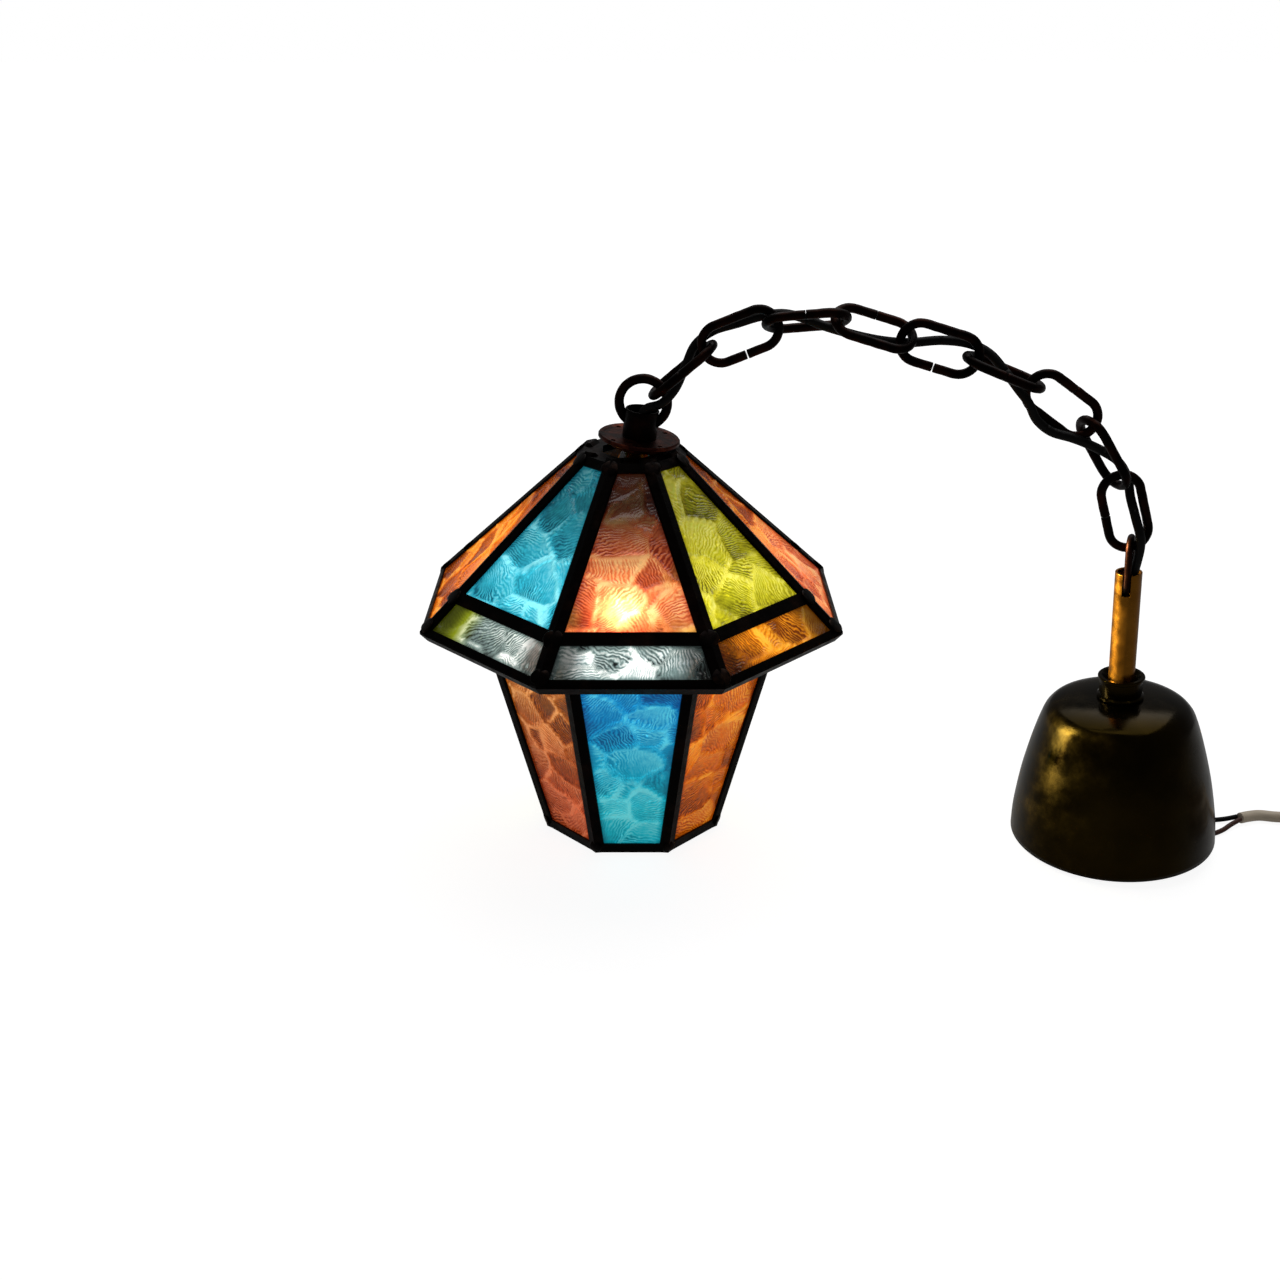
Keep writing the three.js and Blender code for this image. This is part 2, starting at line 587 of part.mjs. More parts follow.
const stand = new THREE.Group();                          // Z along the tube, origin in the rim's plane
stand.position.set(chainEnd.x + axisLength * Math.sin(lean), 0, rimCentreZ);
stand.rotation.y = -lean;
hanging.add(stand);

const hookGroup = new THREE.Group();
hookGroup.rotation.z = radians(HOOK_TURN);
stand.add(hookGroup);

// a hairpin: its bend goes round the last link's wire and its legs are brazed into the tube's slots
function hookPath() {
  const half = HOOK_SPREAD / 2;
  const bendTop = axisLength + HOOK_WIRE + GAP / 2;
  const legFoot = TUBE_TOP - SLOT_DEPTH + HOOK_WIRE + GAP;
  const path = new THREE.CurvePath();
  const arc = Array.from({ length: 9 }, (_, i) => Math.PI * i / 8)
    .map((angle) => new THREE.Vector3(-half * Math.cos(angle), 0, bendTop - half + half * Math.sin(angle)));
  path.add(new THREE.LineCurve3(new THREE.Vector3(-half, 0, legFoot), arc[0]));
  path.add(new THREE.CatmullRomCurve3(arc, false, 'centripetal'));
  path.add(new THREE.LineCurve3(arc[8], new THREE.Vector3(half, 0, legFoot)));
  return path;
}
piece('hook_link', along(hookPath(), HOOK_WIRE, 20), chainBlack, hookGroup);

function slottedTube() {
  const tube = toSolid(turned([
    [TUBE_BORE, TUBE_BOTTOM], [TUBE_RADIUS, TUBE_BOTTOM], [TUBE_RADIUS, TUBE_TOP], [TUBE_BORE, TUBE_TOP],
  ], 28));
  const slot = new THREE.BoxGeometry(4 * TUBE_RADIUS, SLOT_WIDTH, 2 * SLOT_DEPTH).translate(0, 0, TUBE_TOP);
  return toGeometry(tube.subtract(toSolid(slot)));
}
piece('brass_tube', slottedTube(), brass, hookGroup);

// the bell: a nearly flat top, a round shoulder and sides that flare to the rim
const CANOPY_OUTLINE = [
  [CANOPY_RIM, 0], [43.3, 10], [40.9, 25], [38.2, 37], [35.2, 48], [32.4, 56.5], [30.6, 60], [27.6, 62.8],
  [22, 64.8], [14, 66], [CANOPY_BORE, CANOPY_HEIGHT],
];
const CANOPY_INSIDE = [
  [CANOPY_BORE, 65.2], [14, 64.8], [27, 61.6], [31, 56.5], [37, 37], [41.1, 16], [43, 0],
];

const canopy = new THREE.Group();
stand.add(canopy);
piece('canopy', turned([...CANOPY_OUTLINE, ...CANOPY_INSIDE], 40), darkBronze, canopy);

const collarFoot = CANOPY_HEIGHT + GAP;
const SCREW_AT = collarFoot + 5.5;
function canopyCollar() {
  const ring = toSolid(turned([
    [CANOPY_BORE, collarFoot], [9.8, collarFoot], [9.8, collarFoot + 0.9], [9, collarFoot + 1.5],
    [9, collarFoot + COLLAR_HEIGHT - 1.8], [9.8, collarFoot + COLLAR_HEIGHT - 1.2],
    [9.8, collarFoot + COLLAR_HEIGHT - 0.4], [9.4, collarFoot + COLLAR_HEIGHT],
    [8.2, collarFoot + COLLAR_HEIGHT], [CANOPY_BORE, collarFoot + COLLAR_HEIGHT - 3],
  ], 28));
  const hole = cylinder(2, new THREE.Vector3(0, 4, SCREW_AT), new THREE.Vector3(0, 14, SCREW_AT), 16);
  return toGeometry(ring.subtract(toSolid(hole)));
}
piece('canopy_collar', canopyCollar(), darkBronze, canopy);
piece('grub_screw', cylinder(1.7, new THREE.Vector3(0, TUBE_RADIUS + GAP, SCREW_AT),
  new THREE.Vector3(0, 10.6, SCREW_AT), 16), steel, canopy);

// inside the canopy: the eye that goes over a ceiling hook, and the terminal block
function ceilingEye() {
  const eye = new THREE.TorusGeometry(6, 1.5, 8, 18).rotateX(Math.PI / 2)
    .translate(2.6, 0, TUBE_BOTTOM - 16);
  const stem = cylinder(1.5, new THREE.Vector3(2.6, 0, TUBE_BOTTOM - 10),
    new THREE.Vector3(2.6, 0, TUBE_BOTTOM + 8), 12);
  return toGeometry(toSolid(eye).add(toSolid(stem)));
}
piece('ceiling_eye', ceilingEye(), steel, stand);

const BLOCK = new THREE.Vector3(-2, 15, 36);
piece('terminal_block', new THREE.BoxGeometry(16, 10, 9), whitePvc, stand).position.copy(BLOCK);

// ---------------------------------------------------------------- wiring

const curve = (points) => new THREE.CatmullRomCurve3(
  points.map((point) => new THREE.Vector3(...point)), false, 'catmullrom', 0.5);

// the flex: up through the nipple, past the ring, from side to side through the links, down the tube
const FLEX_ROUTE = [
  [0, 0, 150], [1.2, 0, 160.9], [2.3, 0, 169.9], [2.9, -0.8, 175.8], [3.4, -2.1, 179.6],
  [3.7, -3.6, 182.2], [4.1, -4.3, 184.6], [4.6, -4.2, 188.5], [6.8, -3.8, 192.3], [12.9, -4.9, 194.8],
  [18.3, -2.9, 200.5], [22, 0.7, 208.8], [25.8, 3.8, 217.3], [33, 4.8, 222.9], [42.3, 4.6, 226.1],
  [51.5, 4.8, 229.1], [60.5, 4.7, 230.5], [69, 3.9, 229.1], [76.8, 2.1, 226.7], [83.3, 0.8, 225.1],
  [91.9, 1.4, 222.8], [101.8, 3.6, 220.7], [111.8, 4.8, 220], [124, 4.9, 221.2], [135, 4.9, 220.2],
  [143.4, 3.3, 216.7], [149.8, 0, 210.4], [155.3, -3.2, 204.1], [159.6, -4.6, 199.1], [163.4, -4, 192.4],
  [169.7, -3.7, 187.5], [177.6, -4.6, 185.5], [183.9, -3.6, 183.1], [191.9, 0, 178.8], [199.4, 3.4, 173.4],
  [204, 4.5, 166.3], [205.7, 2.2, 159], [207.9, -2.1, 151.8], [210.8, -4.7, 141.8], [210.8, -1, 126.9],
  [209.8, 0, 114.8], [209.9, 0, 82.7], [211.6, 0, 56.8], [211.7, 1, 48.8], [211.4, 4, 41.7],
  [211.2, 6.8, 39.4], [211.2, 9.3, 38.8],
];
piece('chain_flex', along(curve(FLEX_ROUTE), FLEX_RADIUS, 100), blackPvc, hanging);

// the supply: its points are from the floor under the middle of the canopy
const supply = new THREE.Group();
supply.position.x = stand.position.x;
hanging.add(supply);

const FLOOR = WIRE_RADIUS + 0.05;
const BLACK_ROUTE = [
  [4.1, 17.5, 39.4], [8, 17.2, 38.6], [12.5, 16.6, 34], [16, 16, 25], [19.5, 15.4, 13], [24, 15, 5],
  [31, 14.6, FLOOR + 0.4], [40, 14.4, FLOOR], [48, 14.9, FLOOR], [54, 15.6, 1.7], [59.5, 16.7, 2.6],
];
const BROWN_ROUTE = [
  [4.1, 12.5, 39.4], [8, 12, 38.6], [12.5, 10.6, 34], [16, 8.5, 25], [20, 6, 13], [25, 3.6, 5],
  [31, 2.2, FLOOR + 0.4], [38.5, 1.6, FLOOR], [45.1, 2.6, FLOOR],
  [50.5, 6, 1.3], [55.4, 10.6, 1.8], [60.3, 14.4, 2.6],
];
piece('wire_black', along(curve(BLACK_ROUTE), WIRE_RADIUS, 24), blackPvc, supply);
piece('wire_brown', along(curve(BROWN_ROUTE), WIRE_RADIUS, 24), brownPvc, supply);

// the cord lies on the floor and goes round the back of its coil
const CORD_FLOOR = CORD_RADIUS + 0.05;
const coilOuter = COIL_MIDDLE + COIL_COLUMNS * CORD_RADIUS;
const beside = coilOuter + CORD_RADIUS + GAP;
const roundCoil = (degrees) => [
  COIL_CENTRE[0] + beside * Math.sin(radians(degrees)),
  COIL_CENTRE[1] + beside * Math.cos(radians(degrees)),
  CORD_FLOOR,
];
const CORD_ROUTE = [
  [60.6, 15.6, CORD_FLOOR], [65, 17.6, CORD_FLOOR], [70.3, 19, CORD_FLOOR], [78.6, 18.4, CORD_FLOOR],
  [88, 20.2, CORD_FLOOR], [98, 24.6, CORD_FLOOR],
  roundCoil(-15), roundCoil(0), roundCoil(15), roundCoil(30),
];
piece('supply_cord', along(curve(CORD_ROUTE), CORD_RADIUS, 20), whitePvc, supply);

// the rest of the cord, coiled: the outer shape of its turns
const coilInner = COIL_MIDDLE - COIL_COLUMNS * CORD_RADIUS;
const coilTop = 2 * CORD_RADIUS * COIL_ROWS + 0.1;
piece('cord_coil', turned([
  [coilInner, 1.5], [coilInner + 1.5, 0.05], [coilOuter - 1.5, 0.05], [coilOuter, 1.5],
  [coilOuter, coilTop - 1.5], [coilOuter - 1.5, coilTop],
  [coilInner + 1.5, coilTop], [coilInner, coilTop - 1.5],
], 32), whitePvc, supply).position.set(...COIL_CENTRE, 0);

// a flat two-pin plug lies on the coil, in line with the end of the innermost turn
const PLUG_AXIS = 7;
function plug() {
  const outline = [
    [-3.2, 0], [3.2, 0], [4.2, 10], [12.5, 15], [13, 18],
    [11, 34], [-11, 34], [-13, 18], [-12.5, 15], [-4.2, 10],
  ];
  const body = new THREE.ExtrudeGeometry(new THREE.Shape(outline.map((p) => new THREE.Vector2(...p))), {
    depth: 9, bevelEnabled: true, bevelThickness: 2, bevelSize: 1, bevelSegments: 1,
  }).translate(0, 0, PLUG_AXIS - 4.5);
  const pins = [-9.3, 9.3].map((x) => toSolid(
    cylinder(2, new THREE.Vector3(x, 33, PLUG_AXIS), new THREE.Vector3(x, 54, PLUG_AXIS), 12)));
  return toGeometry(join([toSolid(body), ...pins]));
}
const plugPiece = piece('plug', plug(), whitePvc, supply);
plugPiece.position.set(COIL_CENTRE[0] + coilInner + CORD_RADIUS, COIL_CENTRE[1], coilTop - 0.2);
plugPiece.rotation.z = Math.PI;

export default group;
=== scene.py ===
"""A lit stained-glass pendant lantern, standing beside the canopy that its chain ends in."""

import math
import random

import bmesh
import bpy
from mathutils import Matrix, Vector, noise


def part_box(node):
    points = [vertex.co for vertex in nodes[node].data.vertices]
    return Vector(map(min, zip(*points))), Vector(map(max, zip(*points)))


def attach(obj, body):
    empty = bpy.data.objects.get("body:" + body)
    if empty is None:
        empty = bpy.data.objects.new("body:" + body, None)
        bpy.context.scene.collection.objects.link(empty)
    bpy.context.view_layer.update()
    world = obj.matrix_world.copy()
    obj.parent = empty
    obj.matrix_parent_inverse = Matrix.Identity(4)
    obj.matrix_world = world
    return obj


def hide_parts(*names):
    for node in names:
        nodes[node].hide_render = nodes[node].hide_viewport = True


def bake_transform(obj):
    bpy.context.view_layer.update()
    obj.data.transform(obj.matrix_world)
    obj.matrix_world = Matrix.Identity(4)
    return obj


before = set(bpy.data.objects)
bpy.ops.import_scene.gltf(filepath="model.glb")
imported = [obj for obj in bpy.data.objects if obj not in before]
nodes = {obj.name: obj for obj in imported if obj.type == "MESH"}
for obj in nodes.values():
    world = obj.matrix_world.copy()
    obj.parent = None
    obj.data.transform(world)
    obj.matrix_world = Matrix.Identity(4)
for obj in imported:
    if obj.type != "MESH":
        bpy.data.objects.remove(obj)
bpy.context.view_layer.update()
MM = 0.001
noise.seed_set(4)        # noise_vector is seeded from the clock unless this is set

# ---------------------------------------------------------------- places

roof_low, roof_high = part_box("roof_frame")
AXIS_X = (roof_low[0] + roof_high[0]) / 2
EAVE_APOTHEM = (roof_high[0] - roof_low[0]) / 2
FACES = ["front", "front_right", "right", "back_right", "back", "back_left", "left", "front_left"]

CHAIN_YAW = math.radians(6)
FITTING_PIVOT_Z = 150
FITTING_TILT = math.radians(6.5)
RING_CENTRE = 44
RING_RADIUS = 10
RING_WIRE = 2
LINK_WIRE = 1.9
LINK_LENGTH = 36
LINK_PLAY = 1.0
LINK_WIDTH = 19.5
LINK_SEAMS = [0.3, 0.8, 0.3, 0.3, 0.8, 0.3, 0.5, 0.3, 0.8]
LINK_SLOPES = [41, 23, 6, -16, -16, -21, -35, -57, -72]
LINK_TURNS = [90, 0, 60, 120, 180, 90, 0, 65, 0]
LINK_SEAM_SIDES = [1, -1, 1, -1, 1, 1, 1, -1, -1]
HOOK_TURN = math.radians(72)
HOOK_WIRE = 1.5
HOOK_SPREAD = 8.4
CANOPY_LEAN = math.radians(4)
CANOPY_RIM = 44
TUBE_TOP = 124.5
SLOT_DEPTH = 9.5
FLEX_RADIUS = 1.9
WIRE_RADIUS = 1.1
CORD_RADIUS = 2.5
BULB_RADIUS = 22.5
COIL_MIDDLE = 30         # from the coil's centre to the middle of its turns
COIL_CENTRE = (120, -10)

# frames in millimetres whose matrices lead to the row frame, in metres
to_metres = Matrix.Scale(MM, 4)
hanging = Matrix.Translation((AXIS_X, 0, 0)) @ Matrix.Rotation(-CHAIN_YAW, 4, "Z") @ to_metres
fitting = hanging @ Matrix.Translation((0, 0, FITTING_PIVOT_Z)) @ Matrix.Rotation(FITTING_TILT, 4, "Y")


def heading(slope):
    return Vector((math.cos(math.radians(slope)), 0, math.sin(math.radians(slope))))


ring_middle = Vector((RING_CENTRE * math.sin(FITTING_TILT), 0,
                      FITTING_PIVOT_Z + RING_CENTRE * math.cos(FITTING_TILT)))
end_offset = (2 * LINK_WIRE + LINK_PLAY) / 2
pitch = LINK_LENGTH - 4 * LINK_WIRE - LINK_PLAY
meetings = [ring_middle + heading(LINK_SLOPES[0]) * (RING_RADIUS - end_offset)]
for slope in LINK_SLOPES:
    meetings.append(meetings[-1] + heading(slope) * pitch)
rim_z = CANOPY_RIM * math.sin(CANOPY_LEAN)
axis_length = (meetings[-1].z - rim_z) / math.cos(CANOPY_LEAN)
stand_x = meetings[-1].x + axis_length * math.sin(CANOPY_LEAN)
stand = hanging @ Matrix.Translation((stand_x, 0, rim_z)) @ Matrix.Rotation(-CANOPY_LEAN, 4, "Y")
supply = hanging @ Matrix.Translation((stand_x, 0, 0))

# ---------------------------------------------------------------- camera

camera = bpy.data.objects.new("camera", bpy.data.cameras.new("camera"))
camera.data.sensor_width = 36
camera.data.lens = 41.48
camera.location = (AXIS_X + 0.0036, -0.5942, 0.3564)
camera.rotation_euler = (math.radians(90 - 24.475), 0, 0)
bpy.context.scene.collection.objects.link(camera)
bpy.context.scene.camera = camera

# ---------------------------------------------------------------- curves and meshes


def smooth_line(points, per_step=8):
    """A Catmull-Rom line through the points, the same as the CAD's."""
    p = [Vector(q) for q in points]
    p = [2 * p[0] - p[1], *p, 2 * p[-1] - p[-2]]
    line = []
    for a, b, c, d in zip(p, p[1:], p[2:], p[3:]):
        for i in range(per_step):
            t = i / per_step
            line.append(0.5 * (2 * b + (c - a) * t + (2 * a - 5 * b + 4 * c - d) * t ** 2
                               + (3 * b - a - 3 * c + d) * t ** 3))
    return line + [p[-2]]


def new_object(name, data, body):
    obj = bpy.data.objects.new(name, data)
    bpy.context.scene.collection.objects.link(obj)
    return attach(obj, body) if body else obj


def mesh_object(name, vertices, faces, material, body, smooth=True):
    data = bpy.data.meshes.new(name)
    data.from_pydata([tuple(v) for v in vertices], [], faces)
    data.materials.append(material)
    data.polygons.foreach_set("use_smooth", [smooth] * len(data.polygons))
    bm = bmesh.new()
    bm.from_mesh(data)
    bmesh.ops.recalc_face_normals(bm, faces=bm.faces)
    bm.to_mesh(data)
    bm.free()
    return new_object(name, data, body)


def tube_mesh(line, radius, sides=14, closed=False, uneven=0.0, seed=0):
    """Rings of points along a line, with round-edged ends where it is open."""
    n = len(line)
    step = [(line[(i + 1) % n] - line[i - 1]).normalized() if closed or 0 < i < n - 1
            else (line[1] - line[0]).normalized() if i == 0 else (line[-1] - line[-2]).normalized()
            for i in range(n)]
    side = step[0].orthogonal().normalized()
    rings = []
    for i in range(n):
        if i:
            side = (side - step[i] * side.dot(step[i])).normalized()
        other = step[i].cross(side)
        rings.append((line[i], side.copy(), other))
    scales = [(1.0, 0.0)] * n
    if not closed:
        cap = [(0.55, -0.04), (0.86, -0.03), (1.0, 0.0)]
        rings = [rings[0]] * 2 + rings + [rings[-1]] * 2
        scales = [(s, o) for s, o in cap[:2]] + scales + [(s, -o) for s, o in cap[1::-1]]
        step = [step[0]] * 2 + step + [step[-1]] * 2
    vertices, faces = [], []
    twist = 0.0
    if closed:
        last = (rings[-1][1] - step[0] * rings[-1][1].dot(step[0])).normalized()
        twist = math.atan2(last.cross(rings[0][1]).dot(step[0]), last.dot(rings[0][1]))
    for i, (centre, x, y) in enumerate(rings):
        size, shift = scales[i]
        for k in range(sides):
            angle = 2 * math.pi * k / sides + twist * i / len(rings)
            out = x * math.cos(angle) + y * math.sin(angle)
            rough = 1 + uneven * noise.noise(centre * 0.35 + out * 1.3 + Vector((seed, 0, 0)))
            vertices.append(centre + out * radius * size * rough + step[i] * shift * radius)
    count = len(rings)
    for i in range(count if closed else count - 1):
        for k in range(sides):
            a, b = i * sides + k, i * sides + (k + 1) % sides
            j = (i + 1) % count
            faces.append((a, b, j * sides + (k + 1) % sides, j * sides + k))
    if not closed:
        faces += [tuple(range(sides)), tuple(range((count - 1) * sides, count * sides))]
    return vertices, faces


def tube(name, line, radius, place, material, body, **options):
    vertices, faces = tube_mesh(line, radius, **options)
    return mesh_object(name, [place @ v for v in vertices], faces, material, body)


def turned(name, profile, place, material, body, segments=96):
    """A closed profile of (radius, height) points turned about Z."""
    vertices, faces = [], []
    n = len(profile)
    for i in range(segments):
        angle = 2 * math.pi * i / segments
        for r, z in profile:
            vertices.append(place @ Vector((r * math.cos(angle), r * math.sin(angle), z)))
    for i in range(segments):
        j = (i + 1) % segments
        for k in range(n):
            m = (k + 1) % n
            faces.append((i * n + k, j * n + k, j * n + m, i * n + m))
    return mesh_object(name, vertices, faces, material, body)


def soften(obj, width, angle=32, segments=2):
    """Rounds an object's sharp edges and smooths the rest."""
    obj.data.polygons.foreach_set("use_smooth", [True] * len(obj.data.polygons))
    weld = obj.modifiers.new("weld", "WELD")
    weld.merge_threshold = 1e-5
    bevel = obj.modifiers.new("bevel", "BEVEL")
    bevel.width = width
    bevel.segments = segments
    bevel.limit_method = "ANGLE"
    bevel.angle_limit = math.radians(angle)
    normals = obj.modifiers.new("normals", "WEIGHTED_NORMAL")
    normals.keep_sharp = False


def paint(obj, material):
    """Gives a carried-over CAD node its finished material."""
    obj.data.materials.clear()
    obj.data.materials.append(material)

# ---------------------------------------------------------------- materials


def linear(r, g, b):
    """An sRGB colour out of 255 as the renderer's linear colour."""
    return tuple(((c / 255 + 0.055) / 1.055) ** 2.4 if c > 10 else c / 255 / 12.92 for c in (r, g, b))


class Finish:
    """A Principled material and short ways to wire it."""

    def __init__(self, name, **values):
        self.material = bpy.data.materials.new(name)
        self.material.use_nodes = True
        self.tree = self.material.node_tree
        self.shader = self.tree.nodes["Principled BSDF"]
        for key, value in values.items():
            socket = key.replace("_", " ").title().replace("Ior", "IOR")
            self.shader.inputs[socket].default_value = value

    def node(self, kind, inputs=None, **settings):
        made = self.tree.nodes.new(kind)
        for key, value in settings.items():
            setattr(made, key, value)
        for key, value in (inputs or {}).items():
            if isinstance(value, bpy.types.NodeSocket):
                self.tree.links.new(value, made.inputs[key])
            else:
                made.inputs[key].default_value = value
        return made

    def math(self, operation, *values):
        return self.node("ShaderNodeMath", dict(enumerate(values)), operation=operation).outputs[0]

    def place(self, scale=(1, 1, 1)):
        coordinates = self.node("ShaderNodeTexCoord").outputs["Object"]
        return self.node("ShaderNodeMapping", {"Vector": coordinates, "Scale": scale}).outputs[0]

    def noise(self, scale, detail=3.0, roughness=0.55, vector=None, distortion=0.0):
        return self.node("ShaderNodeTexNoise", {
            "Vector": vector or self.place(), "Scale": scale, "Detail": detail,
            "Roughness": roughness, "Distortion": distortion}).outputs["Fac"]

    def ramp(self, value, *stops):
        made = self.node("ShaderNodeValToRGB", {"Fac": value})
        ramp = made.color_ramp
        while len(ramp.elements) < len(stops):
            ramp.elements.new(0.5)
        for element, (at, colour) in zip(ramp.elements, stops):
            element.position = at
            element.color = (*colour, 1) if len(colour) == 3 else colour
        return made.outputs["Color"]

    def grey(self, value, low, high, start=0.0, end=1.0):
        return self.node("ShaderNodeMapRange", {
            "Value": value, "From Min": start, "From Max": end, "To Min": low, "To Max": high}).outputs[0]

    def mix(self, factor, a, b):
        made = self.node("ShaderNodeMix", data_type="RGBA")
        for key, value in (("Factor", factor), ("A", a), ("B", b)):
            socket = next(s for s in made.inputs if s.name == key and s.enabled)
            if isinstance(value, bpy.types.NodeSocket):
                self.tree.links.new(value, socket)
            else:
                socket.default_value = (*value, 1) if isinstance(value, tuple) else value
        return next(s for s in made.outputs if s.enabled)

    def bump(self, height, distance, strength=1.0):
        made = self.node("ShaderNodeBump", {"Height": height, "Distance": distance, "Strength": strength})
        self.set(normal=made.outputs[0])

    def set(self, **links):
        for key, value in links.items():
            self.tree.links.new(value, self.shader.inputs[key.replace("_", " ").title()])


def metal(name, dark, worn, roughness, wear_scale=90, wear=(0.5, 0.75), bump=0.00006, grain=600):
    """Metal whose patina is worn through in patches, with fine dents."""
    finish = Finish(name, metallic=1.0)
    patches = finish.noise(wear_scale, 5, 0.6)
    finish.set(base_color=finish.ramp(patches, (wear[0], dark), (wear[1], worn)))
    smear = finish.noise(wear_scale * 3, 4, 0.6)
    finish.set(roughness=finish.grey(smear, roughness - 0.09, roughness + 0.12, 0.3, 0.7))
    finish.bump(finish.noise(grain, 3, 0.6), bump)
    return finish.material


lead_came = metal("lead_came", linear(12, 9, 8), linear(46, 27, 20), 0.42, 60, (0.52, 0.8),
                  0.00018, 260)
solder = metal("solder", linear(16, 12, 11), linear(64, 44, 34), 0.34, 150, (0.5, 0.8),
               0.0001, 500)
chain_black = metal("chain_black", linear(14, 9, 8), linear(58, 28, 18), 0.38, 70, (0.45, 0.85),
                    0.00008, 700)
copper_patina = metal("copper_patina", linear(38, 14, 10), linear(120, 56, 36), 0.35, 110, (0.42, 0.75))
brass = metal("brass", linear(120, 76, 20), linear(150, 100, 32), 0.3, 60, (0.3, 0.8), 0.00003, 900)
steel = metal("zinc_steel", linear(120, 121, 124), linear(165, 166, 168), 0.32, 140, (0.35, 0.7))
bronze = metal("dark_bronze", linear(26, 20, 5), linear(46, 35, 9), 0.17, 26, (0.35, 0.75), 0.00002, 500)


def moulding(name, colour, roughness, coarse=420, bump=0.00004, sheen=0.5):
    """Moulded plastic or soft PVC with a faint unevenness."""
    finish = Finish(name)
    finish.shader.inputs["Specular IOR Level"].default_value = sheen
    shade = finish.noise(55, 3)
    darker = tuple(c * 0.78 for c in colour)
    finish.set(base_color=finish.ramp(shade, (0.3, darker), (0.7, colour)))
    finish.set(roughness=finish.grey(finish.noise(180, 3), roughness - 0.06, roughness + 0.08, 0.3, 0.7))
    finish.bump(finish.noise(coarse, 3), bump)
    return finish.material


phenolic = moulding("phenolic", linear(26, 22, 20), 0.42)
nylon_white = moulding("nylon_white", linear(214, 210, 200), 0.45)
pvc_black = moulding("pvc_black", linear(9, 7, 7), 0.5, sheen=0.16)
pvc_brown = moulding("pvc_brown", linear(78, 40, 26), 0.42)
pvc_beige = moulding("pvc_beige", linear(238, 222, 198), 0.4)
lamp_light = Finish("lamp_light", base_color=(1, 0.95, 0.85, 1), roughness=0.35, emission_strength=9)
heat = lamp_light.node("ShaderNodeAttribute", attribute_name="heat").outputs["Fac"]
lamp_light.set(emission_color=lamp_light.ramp(
    heat, (0.0, (0.12, 0.08, 0.04)), (0.5, (0.5, 0.36, 0.2)), (1.0, (1, 0.88, 0.66))))
lamp_light.set(roughness=lamp_light.grey(lamp_light.noise(90), 0.3, 0.45))


def glass(name, deep, body, bright, low=None, patch=None, left=None, light=0.9):
    """Hammered coloured glass, lit from behind by a painted glow in its emission.

    low is its colour towards the pane's bottom edge, patch a second colour in blotches, and left one
    down its left side.
    """
    finish = Finish(name, ior=1.5)
    read = {key: finish.node("ShaderNodeAttribute", attribute_name=key).outputs["Fac"]
            for key in ("ridge", "tone", "grain", "glow", "rise", "edge", "side")}
    waver = finish.noise(120, 3)
    bent = finish.math("MULTIPLY", waver, 34.0)
    stria = finish.math("SINE", finish.math("MULTIPLY_ADD", read["grain"], 4.6, bent))
    strength = finish.grey(finish.noise(70, 2), 0.03, 0.27, 0.35, 0.65)
    streaks = finish.math("MULTIPLY", stria, strength)
    shade = finish.math("ADD", finish.grey(read["tone"], 0.17, 0.76), streaks)
    # painted highlight: the ridges between the hammer's marks show lighter in patches, a little darker in
    # a few
    ridge_highlight = finish.grey(finish.noise(60, 2), -0.16, 0.7, 0.36, 0.6)
    shade = finish.math("MULTIPLY_ADD", read["ridge"], ridge_highlight, shade)
    shade = finish.math("ADD", shade, finish.grey(finish.noise(310, 4, 0.7), -0.12, 0.12, 0.3, 0.7))
    # painted shade: the colour darkens within about 4 mm of the pane's border, beside the cames
    shade = finish.math("MULTIPLY", shade, finish.grey(read["edge"], 0.3, 1.0))
    colour = finish.ramp(shade, (0.12, deep), (0.5, body), (0.92, bright))
    if low:
        bottom = finish.ramp(shade, (0.12, low[0]), (0.5, low[1]), (0.92, low[2]))
        colour = finish.mix(finish.grey(read["rise"], 1.0, 0.0, 0.2, 0.65), colour, bottom)
    if patch:
        where = finish.noise(26, 1.5)
        other = finish.ramp(shade, (0.12, tuple(c * 0.25 for c in patch)), (0.75, patch))
        colour = finish.mix(finish.grey(where, 0.0, 0.8, 0.58, 0.66), colour, other)
    if left:
        other = finish.ramp(shade, (0.12, tuple(c * 0.25 for c in left)), (0.7, left))
        colour = finish.mix(finish.grey(read["side"], 1.0, 0.0, 0.2, 0.36), colour, other)
    # the panes glow with painted backlight: the emission is the colour scaled by the glow attribute
    lit = finish.node("ShaderNodeVectorMath", {0: colour, "Scale": read["glow"]}, operation="SCALE")
    tint = finish.node("ShaderNodeVectorMath", {0: colour, "Scale": 0.2}, operation="SCALE")
    finish.set(base_color=tint.outputs[0], emission_color=lit.outputs[0])
    finish.shader.inputs["Emission Strength"].default_value = light
    finish.shader.inputs["Transmission Weight"].default_value = 0.92
    finish.shader.inputs["Roughness"].default_value = 0.13
    finish.shader.inputs["Specular IOR Level"].default_value = 0.16
    finish.bump(finish.math("MULTIPLY_ADD", read["ridge"], 0.9, streaks), 0.0004, 0.8)
    return finish.material


